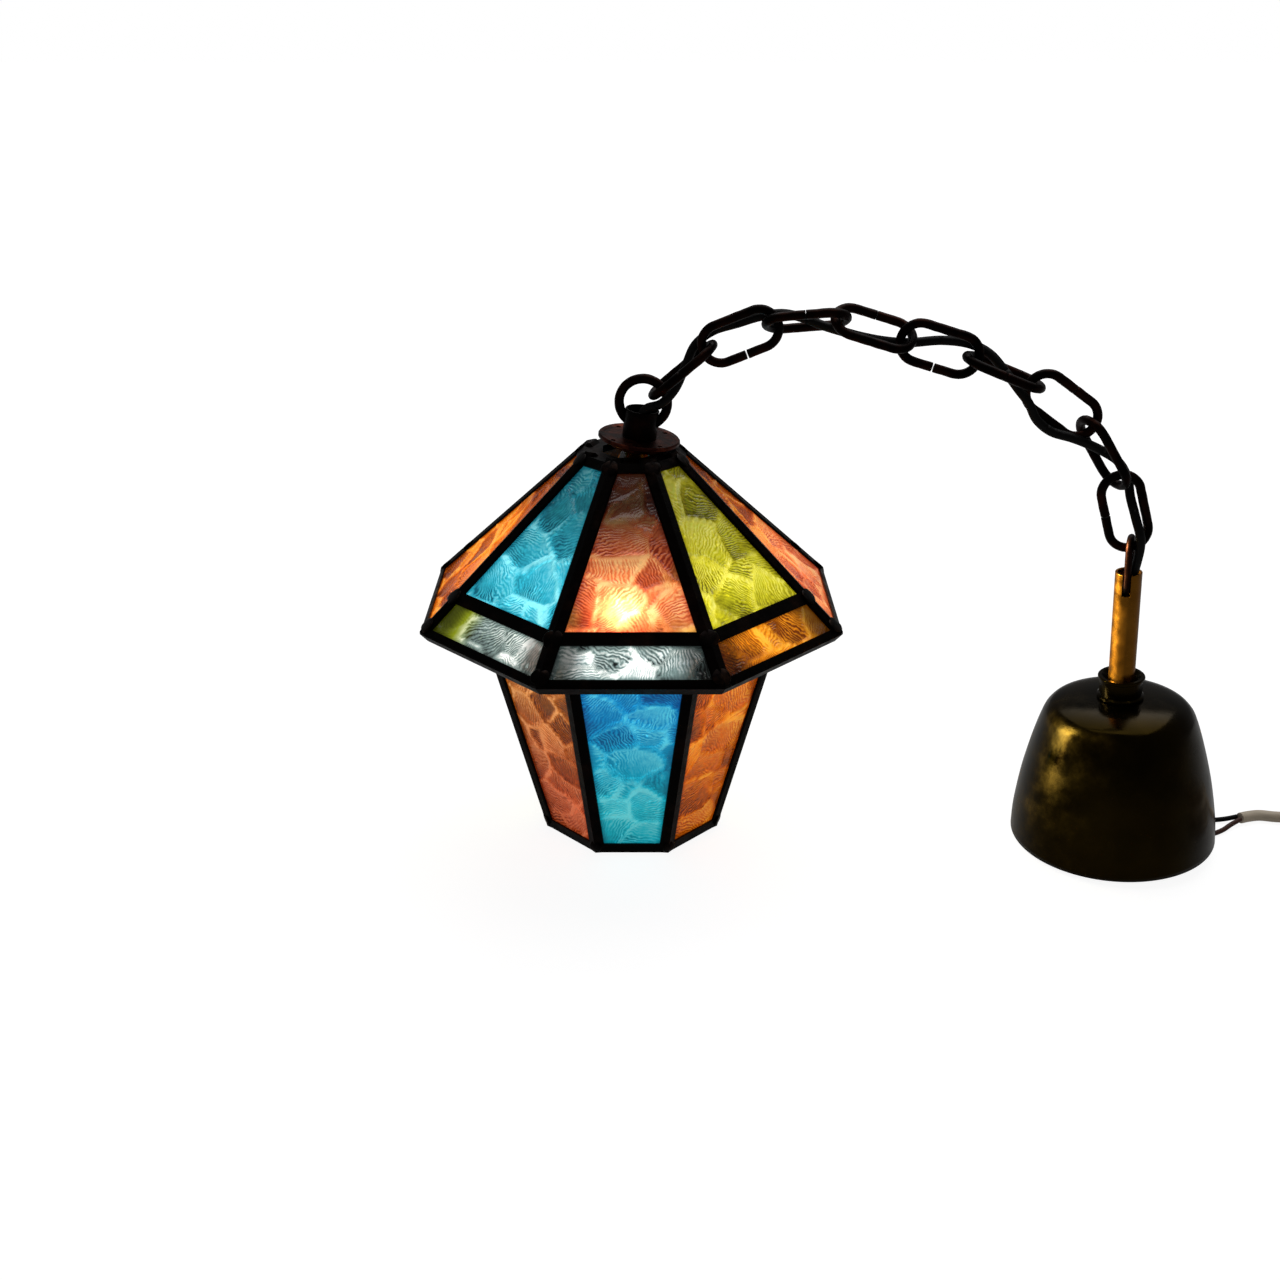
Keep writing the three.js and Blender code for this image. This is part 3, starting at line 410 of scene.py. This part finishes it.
TURQUOISE = [linear(6, 84, 104), linear(52, 176, 196), linear(150, 236, 244)]
SALMON = [linear(140, 44, 20), linear(226, 116, 68), linear(255, 200, 134)]
LIME = [linear(92, 86, 4), linear(206, 198, 36), linear(255, 248, 120)]
ORANGE = [linear(96, 34, 2), linear(212, 104, 8), linear(252, 172, 56)]
AMBER = [linear(96, 44, 4), linear(208, 128, 18), linear(246, 184, 60)]
BROWN = [linear(70, 26, 2), linear(166, 92, 22), linear(240, 172, 104)]
RED = [linear(70, 14, 4), linear(172, 72, 32), linear(232, 128, 84)]
BLUE = [linear(4, 80, 138), linear(12, 140, 196), linear(96, 214, 236)]
CYAN = [linear(10, 120, 136), linear(24, 186, 202), linear(120, 222, 226)]
GREEN = [linear(30, 70, 14), linear(96, 140, 42), linear(180, 206, 90)]
CLEAR = [linear(12, 14, 14), linear(122, 140, 136), linear(255, 255, 250)]

glasses = {
    "turquoise": glass("glass_turquoise", *TURQUOISE),
    "salmon_lit": glass("glass_salmon_lit", *SALMON, patch=linear(250, 196, 88)),
    "lime": glass("glass_lime", *LIME),
    "orange": glass("glass_orange", *ORANGE),
    "orange_low": glass("glass_orange_salmon", *ORANGE, low=SALMON),
    "amber": glass("glass_amber", *AMBER, patch=linear(70, 30, 4)),
    "brown": glass("glass_brown", *BROWN, low=RED),
    "blue": glass("glass_blue", *BLUE, low=CYAN),
    "green": glass("glass_green", *GREEN),
    "clear": glass("glass_clear", *CLEAR, light=1.0),
    "clear_green": glass("glass_clear_green", *CLEAR, left=linear(140, 150, 26)),
}
# a glass for each face, in the order of FACES; the left and right faces have no eave pane
PANES = {
    "roof_pane": ["salmon_lit", "lime", "orange_low", "turquoise", "amber", "green", "orange",
                  "turquoise"],
    "eave_pane": ["clear", "amber", None, "clear", "orange", "clear", None, "clear_green"],
    "wall_pane": ["blue", "orange", "lime", "turquoise", "brown", "blue", "lime", "brown"],
}

# ---------------------------------------------------------------- cords

FLOOR = WIRE_RADIUS + 0.05
BLACK_ROUTE = [
    [4.1, 17.5, 39.4], [8, 17.2, 38.6], [12.5, 16.6, 34], [16, 16, 25], [19.5, 15.4, 13], [24, 15, 5],
    [31, 14.6, FLOOR + 0.4], [40, 14.4, FLOOR], [48, 14.9, FLOOR], [54, 15.6, 1.7], [59.5, 16.7, 2.6],
]
BROWN_ROUTE = [
    [4.1, 12.5, 39.4], [8, 12, 38.6], [12.5, 10.6, 34], [16, 8.5, 25], [20, 6, 13], [25, 3.6, 5],
    [31, 2.2, FLOOR + 0.4], [38.5, 1.6, FLOOR], [45.1, 2.6, FLOOR], [50.5, 6, 1.3], [55.4, 10.6, 1.8],
    [60.3, 14.4, 2.6],
]
CORD_FLOOR = CORD_RADIUS + 0.05
CORD_START = [
    [60.6, 15.6, CORD_FLOOR], [65, 17.6, CORD_FLOOR], [70.3, 19, CORD_FLOOR], [78.6, 18.4, CORD_FLOOR],
    [88, 20.2, CORD_FLOOR], [98, 24.6, CORD_FLOOR],
]
BESIDE_COIL = COIL_MIDDLE + 3 * CORD_RADIUS + CORD_RADIUS + 0.3
JOG = 60          # degrees that the cord takes to step from one turn to the next
COIL_TURNS = [35, 30, 25, 25, 30, 35, 35, 30, 25]      # each turn's radius, in the order it is wound
COIL_LAYERS = [0, 0, 0, 1, 1, 1, 2, 2, 2]
COIL_LEAD_IN = -15        # degrees before the first turn where the cord joins the coil
COIL_DONE = 360 * len(COIL_TURNS)
PLUG_RISE = 9.8           # the cord's climb from the top layer to the plug
PLUG_RISE_START = 3262    # degrees
PLUG_AT = 3330            # degrees


def ease(t):
    t = min(max(t, 0), 1)
    return t * t * (3 - 2 * t)


def coil_line(step=7.5):
    """The coiled cord: three layers of three turns, wound in, out and in, then up to the plug."""
    last = len(COIL_TURNS) - 1
    points = []
    for i in range(int(COIL_LEAD_IN / step), int(PLUG_AT / step) + 1):
        degrees = i * step
        turn = int(degrees // 360)
        before = min(turn, last + 1) - 1
        radius_before = BESIDE_COIL if turn <= 0 else COIL_TURNS[before]
        layer_before = COIL_LAYERS[max(before, 0)]
        turn = min(max(turn, 0), last)
        radius, layer = COIL_TURNS[last], COIL_LAYERS[last]
        if degrees < COIL_DONE:
            part = ease((degrees - 360 * turn) / JOG)
            radius = radius_before + (COIL_TURNS[turn] - radius_before) * part
            layer = layer_before + (COIL_LAYERS[turn] - layer_before) * part
        climb = ease((degrees - PLUG_RISE_START) / (PLUG_AT - PLUG_RISE_START))
        z = CORD_FLOOR + 2 * CORD_RADIUS * layer + PLUG_RISE * climb
        angle = math.radians(degrees)
        points.append(Vector((COIL_CENTRE[0] + radius * math.sin(angle),
                              COIL_CENTRE[1] + radius * math.cos(angle), z)))
    return points


def curve_object(name, line, radius, place, material, body):
    data = bpy.data.curves.new(name, "CURVE")
    data.dimensions = "3D"
    data.bevel_depth = radius * MM
    data.bevel_resolution = 5
    data.use_fill_caps = True
    spline = data.splines.new("POLY")
    spline.points.add(len(line) - 1)
    for point, at in zip(spline.points, line):
        point.co = (*(place @ at), 1)
    spline.use_smooth = True
    data.materials.append(material)
    return new_object(name, data, body)


LEADS = [("lead_black", BLACK_ROUTE, pvc_black), ("lead_brown", BROWN_ROUTE, pvc_brown)]
for name, route, material in LEADS:
    line = smooth_line(route)
    wire = curve_object(name, line, WIRE_RADIUS, supply, material, "tube")
    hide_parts(name.replace("lead", "wire"))

coiled = coil_line()
cord_line = smooth_line([*CORD_START, *coiled[:1]], 6)[:-1] + coiled
supply_lead = curve_object("supply_lead", cord_line, CORD_RADIUS, supply, pvc_beige, "tube")
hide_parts("supply_cord", "cord_coil")

# ---------------------------------------------------------------- glass

bulb_low, bulb_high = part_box("bulb_glass")
BULB = Vector((bulb_low[0] + BULB_RADIUS * MM, (bulb_low[1] + bulb_high[1]) / 2,
               bulb_low[2] + BULB_RADIUS * MM))
CELL = 19.0        # millimetres between the hammer's marks
SPACING = 1.5      # millimetres between a pane's grid points
GLARE = Vector((BULB.x + 0.001, -0.0655, 0.127))      # where the lamp shows through the front pane


def pane_faces(node):
    """The four corners of a CAD pane's outer and inner face, in the same order."""
    corners = []
    for v in node.data.vertices:
        if all((v.co - c).length > 1e-5 for c in corners):
            corners.append(v.co.copy())
    middle = sum(corners, Vector()) / len(corners)
    areas = {}
    for polygon in node.data.polygons:
        key = tuple(round(x, 2) for x in polygon.normal)
        areas[key] = areas.get(key, 0) + polygon.area
    normal = Vector(max(areas, key=areas.get)).normalized()
    out = Vector((middle.x - AXIS_X, middle.y, 0)).normalized()
    if normal.dot(out) < 0:
        normal.negate()
    across = Vector((0, 0, 1)).cross(out)
    up = normal.cross(across).normalized()
    if up.z < 0:
        up.negate()
    outer = [c for c in corners if (c - middle).dot(normal) > 0]
    inner = [c for c in corners if (c - middle).dot(normal) < 0]

    def order(four):
        low = sorted(four, key=lambda c: c.dot(up))
        return [c for pair in (low[:2], low[2:]) for c in sorted(pair, key=lambda c: c.dot(across))]
    return order(outer), order(inner), normal


def hammer(u, v, seed):
    """The ridge height, cell tone with painted shading, and grain of hammered glass at a place in
    millimetres.
    """
    warp = noise.noise_vector(Vector((u, v, seed * 7.3)) * 0.09) * 3.2
    where = Vector(((u + warp.x) / CELL, (v + warp.y) / CELL / 0.85, seed * 3.7))
    distances, marks = noise.voronoi(where)
    ridge = math.exp(-(((distances[1] - distances[0]) * CELL) / 1.2) ** 2)
    mark = marks[0]
    tone = noise.cell(Vector((mark.x * 5.3, mark.y * 5.3, seed + 0.5)))
    turn = 2 * math.pi * noise.cell(Vector((mark.x * 3.1, mark.y * 4.7, seed + 9.5)))
    fan = Vector((mark.x * CELL + 30 * math.cos(turn), mark.y * CELL * 0.85 + 30 * math.sin(turn)))
    grain = math.atan2(v - fan.y, u - fan.x) * 30
    # painted shading: each cell is lighter towards its upper side and darker towards its lower side
    painted_cell_shade = ((u - mark.x * CELL) * 0.5 + (v - mark.y * CELL * 0.85) * 0.9) / CELL
    return ridge, 0.5 + (tone % 1 - 0.5) * 0.8 + 0.6 * painted_cell_shade, grain


def glow_at(point, kind, side, s):
    """The painted glow of the lamp's light in the glass there; s runs from one side of the pane to the
    other.
    """
    near = (0.058 / (point - BULB).length) ** 2
    if kind == "roof_pane":
        # painted shade: each roof pane darkens towards its top, where the lampholder shades the bulb, the
        # front one most
        shaded = 0.97 if side == "front" else 0.7
        # painted highlight where the lamp shows through the front roof pane
        glare = 14 * math.exp(-(point - GLARE).length_squared / 0.0075 ** 2) if side == "front" else 0
        return (min(0.34 + 0.8 * near, 1.25) + glare) * (1 - shaded * ease((point.z - 0.126) / 0.034))
    if kind == "eave_pane":
        # painted shade towards both ends of each eave pane
        return min(0.34 + 1.6 * near, 1.5) * (1 - 0.85 * ease((abs(s - 0.5) - 0.24) / 0.16))
    return min(0.42 + 0.28 * near, 0.8)


def make_pane(kind, side, glass_name, seed):
    name = f"{kind}_{side}"
    outer, inner, normal = pane_faces(nodes[name])
    width = max((outer[1] - outer[0]).length, (outer[3] - outer[2]).length)
    height = ((outer[2] + outer[3]) / 2 - (outer[0] + outer[1]) / 2).length
    columns, rows = max(6, round(width / MM / SPACING)), max(6, round(height / MM / SPACING))
    vertices, values = [], {key: [] for key in ("ridge", "tone", "grain", "glow", "rise", "edge", "side")}

    def at(corners, s, t):
        return corners[0].lerp(corners[1], s).lerp(corners[2].lerp(corners[3], s), t)

    def add(corners, sign):
        for j in range(rows + 1):
            t = j / rows
            for i in range(columns + 1):
                s = i / columns
                p = at(corners, s, t)
                across = at(outer, 1, t) - at(outer, 0, t)
                u, v = (s - 0.5) * across.length / MM, t * height / MM
                ridge, tone, grain = hammer(u, v, seed)
                edge = min(s * across.length, (1 - s) * across.length, t * height, (1 - t) * height) / MM
                raised = 0.75 * ridge + 0.25 * noise.noise(Vector((u, v, seed)) * 0.22)
                raised *= ease((edge - 1.2) / 2)
                vertices.append(p + normal * sign * max(raised, -0.2) * MM * (0.9 if sign > 0 else 0.25))
                # tone carries painted cell shading, glow the painted backlight, and ease(edge / 4) the
                # mask for the painted shade at the pane's border
                found = (ridge, tone, grain, glow_at(p, kind, side, s), t, ease(edge / 4), s)
                for key, value in zip(values, found):
                    values[key].append(value)

    add(outer, 1)
    add(inner, -1)
    w, layer = columns + 1, (columns + 1) * (rows + 1)
    faces = []
    for j in range(rows):
        for i in range(columns):
            a = j * w + i
            faces.append((a, a + 1, a + w + 1, a + w))
            faces.append((layer + a, layer + a + w, layer + a + w + 1, layer + a + 1))
    rim = list(range(w)) + [j * w + columns for j in range(1, rows + 1)]
    rim += [rows * w + i for i in range(columns - 1, -1, -1)] + [j * w for j in range(rows - 1, 0, -1)]
    for a, b in zip(rim, rim[1:] + rim[:1]):
        faces.append((a, layer + a, layer + b, b))
    obj = mesh_object(f"glass_{name}", vertices, faces, glasses[glass_name], "lantern")
    for key, numbers in values.items():
        obj.data.attributes.new(key, "FLOAT", "POINT").data.foreach_set("value", numbers)
    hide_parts(name)


for kind, names in PANES.items():
    for k, glass_name in enumerate(names):
        if glass_name:
            make_pane(kind, FACES[k], glass_name, 10 * list(PANES).index(kind) + k + 1)

# ---------------------------------------------------------------- frames

for name in ("roof_frame", "body_frame"):
    paint(nodes[name], lead_came)
    soften(nodes[name], 0.0005, 30)

HALF_SIDE = math.pi / 8
ACROSS_FLAT = math.cos(HALF_SIDE)
EAVE_RADIUS = EAVE_APOTHEM / ACROSS_FLAT / MM
EAVE_Z = 105.8
CROSSBAR_RADIUS = 79.7
TOP_RING_RADIUS = 21.6
BASE_RADIUS = 41.6
WALL_LEAN = 0.26


def corner(k, radius, z):
    angle = (2 * k + 1) * HALF_SIDE
    return Vector((AXIS_X + radius * math.sin(angle) * MM, -radius * math.cos(angle) * MM, z * MM))


def solder_joints():
    """A flattened, lumpy drop of solder where the cames cross."""
    places = []
    for k in range(8):
        out = Vector((math.sin((2 * k + 1) * HALF_SIDE), -math.cos((2 * k + 1) * HALF_SIDE), 0))
        roof_normal = (out * ACROSS_FLAT + Vector((0, 0, 1))).normalized()
        for radius, size in ((EAVE_RADIUS - 3.2, 4.4), (CROSSBAR_RADIUS, 4.6),
                             (TOP_RING_RADIUS + 1.6, 4.2)):
            z = EAVE_Z + (EAVE_RADIUS - radius) * ACROSS_FLAT
            places.append((corner(k, radius, z), roof_normal, size))
        wall_normal = (out - Vector((0, 0, WALL_LEAN))).normalized()
        places.append((corner(k, BASE_RADIUS + WALL_LEAN * 3.4, 3.4), wall_normal, 3.4))
    rng = random.Random(4)
    whole = bmesh.new()
    for place, normal, size in places:
        drop = bmesh.new()
        bmesh.ops.create_icosphere(drop, subdivisions=3, radius=1)
        turn = normal.to_track_quat("Z", "Y").to_matrix().to_4x4()
        shift = Vector((rng.random(), rng.random(), rng.random())) * 40
        for v in drop.verts:
            lump = 1 + 0.22 * noise.noise(v.co * 1.4 + shift)
            v.co = Vector((v.co.x * size * lump * 0.85, v.co.y * size * lump * 0.85, v.co.z * 0.55)) * MM
        move = Matrix.Translation(place - normal * 0.15 * MM) @ turn
        bmesh.ops.transform(drop, matrix=move, verts=drop.verts)
        data = bpy.data.meshes.new("drop")
        drop.to_mesh(data)
        whole.from_mesh(data)
        bpy.data.meshes.remove(data)
        drop.free()
    data = bpy.data.meshes.new("solder_joints")
    whole.to_mesh(data)
    whole.free()
    data.polygons.foreach_set("use_smooth", [True] * len(data.polygons))
    data.materials.append(solder)
    new_object("solder_joints", data, "lantern")


solder_joints()

# ---------------------------------------------------------------- fitting and bulb

for name, material, width in (
        ("vase_cap", copper_patina, 0.0002), ("hanging_collar", chain_black, 0.0003),
        ("threaded_nipple", brass, 0.0002), ("clamp_strap", steel, 0.0003), ("lock_nut", brass, 0.0004),
        ("lampholder_cap", phenolic, 0.0005), ("lampholder_shell", phenolic, 0.0004),
        ("lampholder_screw_shell", brass, 0.0002), ("bulb_base", brass, 0.0003),
        ("brass_tube", brass, 0.00025), ("ceiling_eye", steel, 0.0002),
        ("terminal_block", nylon_white, 0.0006), ("grub_screw", steel, 0.0003),
        ("plug", pvc_beige, 0.001)):
    paint(nodes[name], material)
    soften(nodes[name], width, 34)

BULB_CENTRE = -50        # on the fitting's axis


def globe():
    """The glass envelope: a neck that swells into a ball, one millimetre thick."""
    neck = 5
    start = math.asin(neck / BULB_RADIUS)
    arc = [start + (math.pi - start) * i / 40 for i in range(41)]
    outer = [(max(BULB_RADIUS * math.sin(a), 0.01), BULB_CENTRE + BULB_RADIUS * math.cos(a)) for a in arc]
    inner = [(max(r * 0.955, 0.01), BULB_CENTRE + (z - BULB_CENTRE) * 0.955) for r, z in reversed(outer)]
    obj = turned("bulb_envelope", [(neck, -21.5), *outer, *inner, (neck - 1, -21.5)], fitting,
                 lamp_light.material, "bulb", 48)
    back = fitting.inverted()
    heat = [math.exp(-(((back @ v.co).z - BULB_CENTRE) / 8) ** 2) for v in obj.data.vertices]
    obj.data.attributes.new("heat", "FLOAT", "POINT").data.foreach_set("value", heat)
    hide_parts("bulb_glass")


globe()

ring_line = [Vector((RING_RADIUS * math.cos(a), 0, RING_CENTRE + RING_RADIUS * math.sin(a)))
             for a in (2 * math.pi * i / 64 for i in range(64))]
ring = tube("ring_forged", ring_line, RING_WIRE, fitting, chain_black, "hanging_ring", closed=True,
            uneven=0.05)
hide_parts("hanging_ring")

# ---------------------------------------------------------------- chain


def link_line(seam_side, seam):
    """Along the middle of a link's wire, from one side of its seam round to the other."""
    turn = (LINK_WIDTH - 2 * LINK_WIRE) / 2
    straight = LINK_LENGTH / 2 - LINK_WIRE - turn
    half = [(seam / 2 + (straight - seam / 2) * i / 8, turn) for i in range(8)]
    half += [(straight + turn * math.sin(a), turn * math.cos(a))
             for a in (math.pi * i / 20 for i in range(20))]
    half += [(straight * (1 - i / 7), -turn) for i in range(8)]
    line = half + [(-x, z) for x, z in reversed(half[:-1])]
    return [Vector((x, 0, z * seam_side)) for x, z in line]


for i, slope in enumerate(LINK_SLOPES):
    middle = (meetings[i] + meetings[i + 1]) / 2
    place = (hanging @ Matrix.Translation(middle) @ Matrix.Rotation(-math.radians(slope), 4, "Y")
             @ Matrix.Rotation(math.radians(LINK_TURNS[i]), 4, "X"))
    name = f"chain_link_{i + 1}"
    line = link_line(LINK_SEAM_SIDES[i], LINK_SEAMS[i])
    link = tube(f"forged_link_{i + 1}", line, LINK_WIRE, place, chain_black, name, uneven=0.05, seed=i)
    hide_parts(name)

hook_half = HOOK_SPREAD / 2
bend_top = axis_length + HOOK_WIRE + 0.15
leg_foot = TUBE_TOP - SLOT_DEPTH + HOOK_WIRE + 0.3
hook_line = [Vector((-hook_half, 0, leg_foot + (bend_top - hook_half - leg_foot) * i / 8))
             for i in range(8)]
hook_line += [Vector((-hook_half * math.cos(a), 0, bend_top - hook_half + hook_half * math.sin(a)))
              for a in (math.pi * i / 18 for i in range(19))]
hook_line += [Vector((hook_half, 0, p.z)) for p in reversed(hook_line[:8])]
hook = tube("forged_hook", hook_line, HOOK_WIRE, stand @ Matrix.Rotation(HOOK_TURN, 4, "Z"), chain_black,
            "tube", sides=12, uneven=0.04)
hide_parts("hook_link")

# the flex, in one piece for each joint that it bends across
FLEX_ROUTE = [
    [0, 0, 150], [1.2, 0, 160.9], [2.3, 0, 169.9], [2.9, -0.8, 175.8], [3.4, -2.1, 179.6],
    [3.7, -3.6, 182.2], [4.1, -4.3, 184.6], [4.6, -4.2, 188.5], [6.8, -3.8, 192.3],
    [12.9, -4.9, 194.8], [18.3, -2.9, 200.5], [22, 0.7, 208.8], [25.8, 3.8, 217.3], [33, 4.8, 222.9],
    [42.3, 4.6, 226.1], [51.5, 4.8, 229.1], [60.5, 4.7, 230.5], [69, 3.9, 229.1], [76.8, 2.1, 226.7],
    [83.3, 0.8, 225.1], [91.9, 1.4, 222.8], [101.8, 3.6, 220.7], [111.8, 4.8, 220], [124, 4.9, 221.2],
    [135, 4.9, 220.2], [143.4, 3.3, 216.7], [149.8, 0, 210.4], [155.3, -3.2, 204.1],
    [159.6, -4.6, 199.1], [163.4, -4, 192.4], [169.7, -3.7, 187.5], [177.6, -4.6, 185.5],
    [183.9, -3.6, 183.1], [191.9, 0, 178.8], [199.4, 3.4, 173.4], [204, 4.5, 166.3],
    [205.7, 2.2, 159], [207.9, -2.1, 151.8], [210.8, -4.7, 141.8], [210.8, -1, 126.9],
    [209.8, 0, 114.8], [209.9, 0, 82.7], [211.6, 0, 56.8], [211.7, 1, 48.8], [211.4, 4, 41.7],
    [211.2, 6.8, 39.4], [211.2, 9.3, 38.8],
]
flex_line = smooth_line(FLEX_ROUTE, 6)
# the flex's first piece ends over the collar, at its point nearest the second of these two places
below_bend, above_collar = Vector((4.6, -4.2, 188.5)), Vector((10.6, -4.6, 194))
TUBE_BEND = 16            # millimetres over which the flex turns into the tube
cuts = [0, min(range(len(flex_line)), key=lambda i: (flex_line[i] - above_collar).length)]
for a, b in zip(meetings, meetings[1:]):
    cuts.append(min(range(len(flex_line)), key=lambda i: (flex_line[i] - (a + b) / 2).length))
cuts.append(len(flex_line) - 1)
for k in range(11):
    start, end = cuts[k], cuts[k + 1]
    segment = tube(f"flex_{k + 1}", flex_line[start:end + 1], FLEX_RADIUS, hanging, pvc_black, None,
                   sides=12)
    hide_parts("chain_flex")
    first, last = flex_line[start], flex_line[end]
    if k == 0:
        first, last = below_bend, above_collar
    if k == 10:
        last = first + (first - flex_line[start - 6]).normalized() * TUBE_BEND
    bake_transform(segment)

# ---------------------------------------------------------------- canopy

SHOULDER = [(CANOPY_RIM, 0), (43.3, 10), (40.9, 25), (38.2, 37), (35.2, 48), (32.4, 56.5), (30.6, 60),
            (27.6, 62.8), (22, 64.8), (14, 66), (5.9, 66.5)]
INSIDE = [(5.9, 65.2), (14, 64.8), (27, 61.6), (31, 56.5), (37, 37), (41.1, 16), (43, 0)]


def rounded(outline, per_step=5):
    line = smooth_line([(r, 0, z) for r, z in outline], per_step)
    return [(p.x, p.z) for p in line]


shell = turned("spun_canopy", [*rounded(SHOULDER), *rounded(INSIDE)], stand, bronze, "canopy", 120)
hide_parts("canopy")
paint(nodes["canopy_collar"], bronze)
soften(nodes["canopy_collar"], 0.0003, 34)

# ---------------------------------------------------------------- floor and light


def area_light(name, place, aim, size, power, colour=(1, 1, 1)):
    data = bpy.data.lights.new(name, "AREA")
    data.shape = "RECTANGLE"
    data.size, data.size_y = size
    data.energy = power
    data.color = colour
    light = bpy.data.objects.new(name, data)
    light.location = place
    light.rotation_euler = (Vector(aim) - Vector(place)).to_track_quat("-Z", "Y").to_euler()
    bpy.context.scene.collection.objects.link(light)
    return light


floor_finish = Finish("floor_paper", roughness=0.9)
paper = floor_finish.noise(6)
floor_finish.set(base_color=floor_finish.ramp(paper, (0.3, (0.3, 0.3, 0.3)), (0.7, (0.33, 0.33, 0.33))))
floor_finish.shader.inputs["Emission Color"].default_value = (1, 1, 1, 1)
away = floor_finish.node(
    "ShaderNodeVectorMath", {0: floor_finish.place()}, operation="LENGTH").outputs["Value"]
seen = floor_finish.node("ShaderNodeLightPath").outputs["Is Camera Ray"]
white = floor_finish.grey(away, 0.92, 1.0, 0.3, 1.1)
dimmed = floor_finish.grey(seen, 0.12, 1.0)      # the floor shines less on the lamp than at the camera
floor_finish.set(emission_strength=floor_finish.math("MULTIPLY", white, dimmed))
bm = bmesh.new()
bmesh.ops.create_grid(bm, x_segments=8, y_segments=8, size=6)
floor_mesh = bpy.data.meshes.new("floor")
bm.to_mesh(floor_mesh)
bm.free()
floor_mesh.materials.append(floor_finish.material)
floor = new_object("floor", floor_mesh, None)
floor.location.z = -0.0002

area_light("overhead", (0.1, 0.5, 1.25), (0, 0, 0), (1.4, 1.4), 8)
strip = area_light("left_strip", (-0.47, 0.06, 0.2), (0.13, -0.02, 0.05), (0.09, 0.34), 64, (1, 0.9, 0.5))
# the strip lights the canopy and its fittings only: on the panes it would wash out their colours
strip_lit = bpy.data.collections.new("strip_lit")
for lit in (shell, hook, nodes["brass_tube"], nodes["canopy_collar"]):
    strip_lit.objects.link(lit)
strip.light_linking.receiver_collection = strip_lit
strip.light_linking.blocker_collection = strip_lit

world = bpy.data.worlds.new("studio")
bpy.context.scene.world = world
world.use_nodes = True
background = world.node_tree.nodes["Background"]
path = world.node_tree.nodes.new("ShaderNodeLightPath")
level = world.node_tree.nodes.new("ShaderNodeMapRange")
level.inputs["To Min"].default_value = 0.1
level.inputs["To Max"].default_value = 1.0
world.node_tree.links.new(path.outputs["Is Camera Ray"], level.inputs["Value"])
world.node_tree.links.new(level.outputs[0], background.inputs["Strength"])
background.inputs["Color"].default_value = (1, 1, 1, 1)
bpy.context.scene.view_settings.view_transform = "Standard"
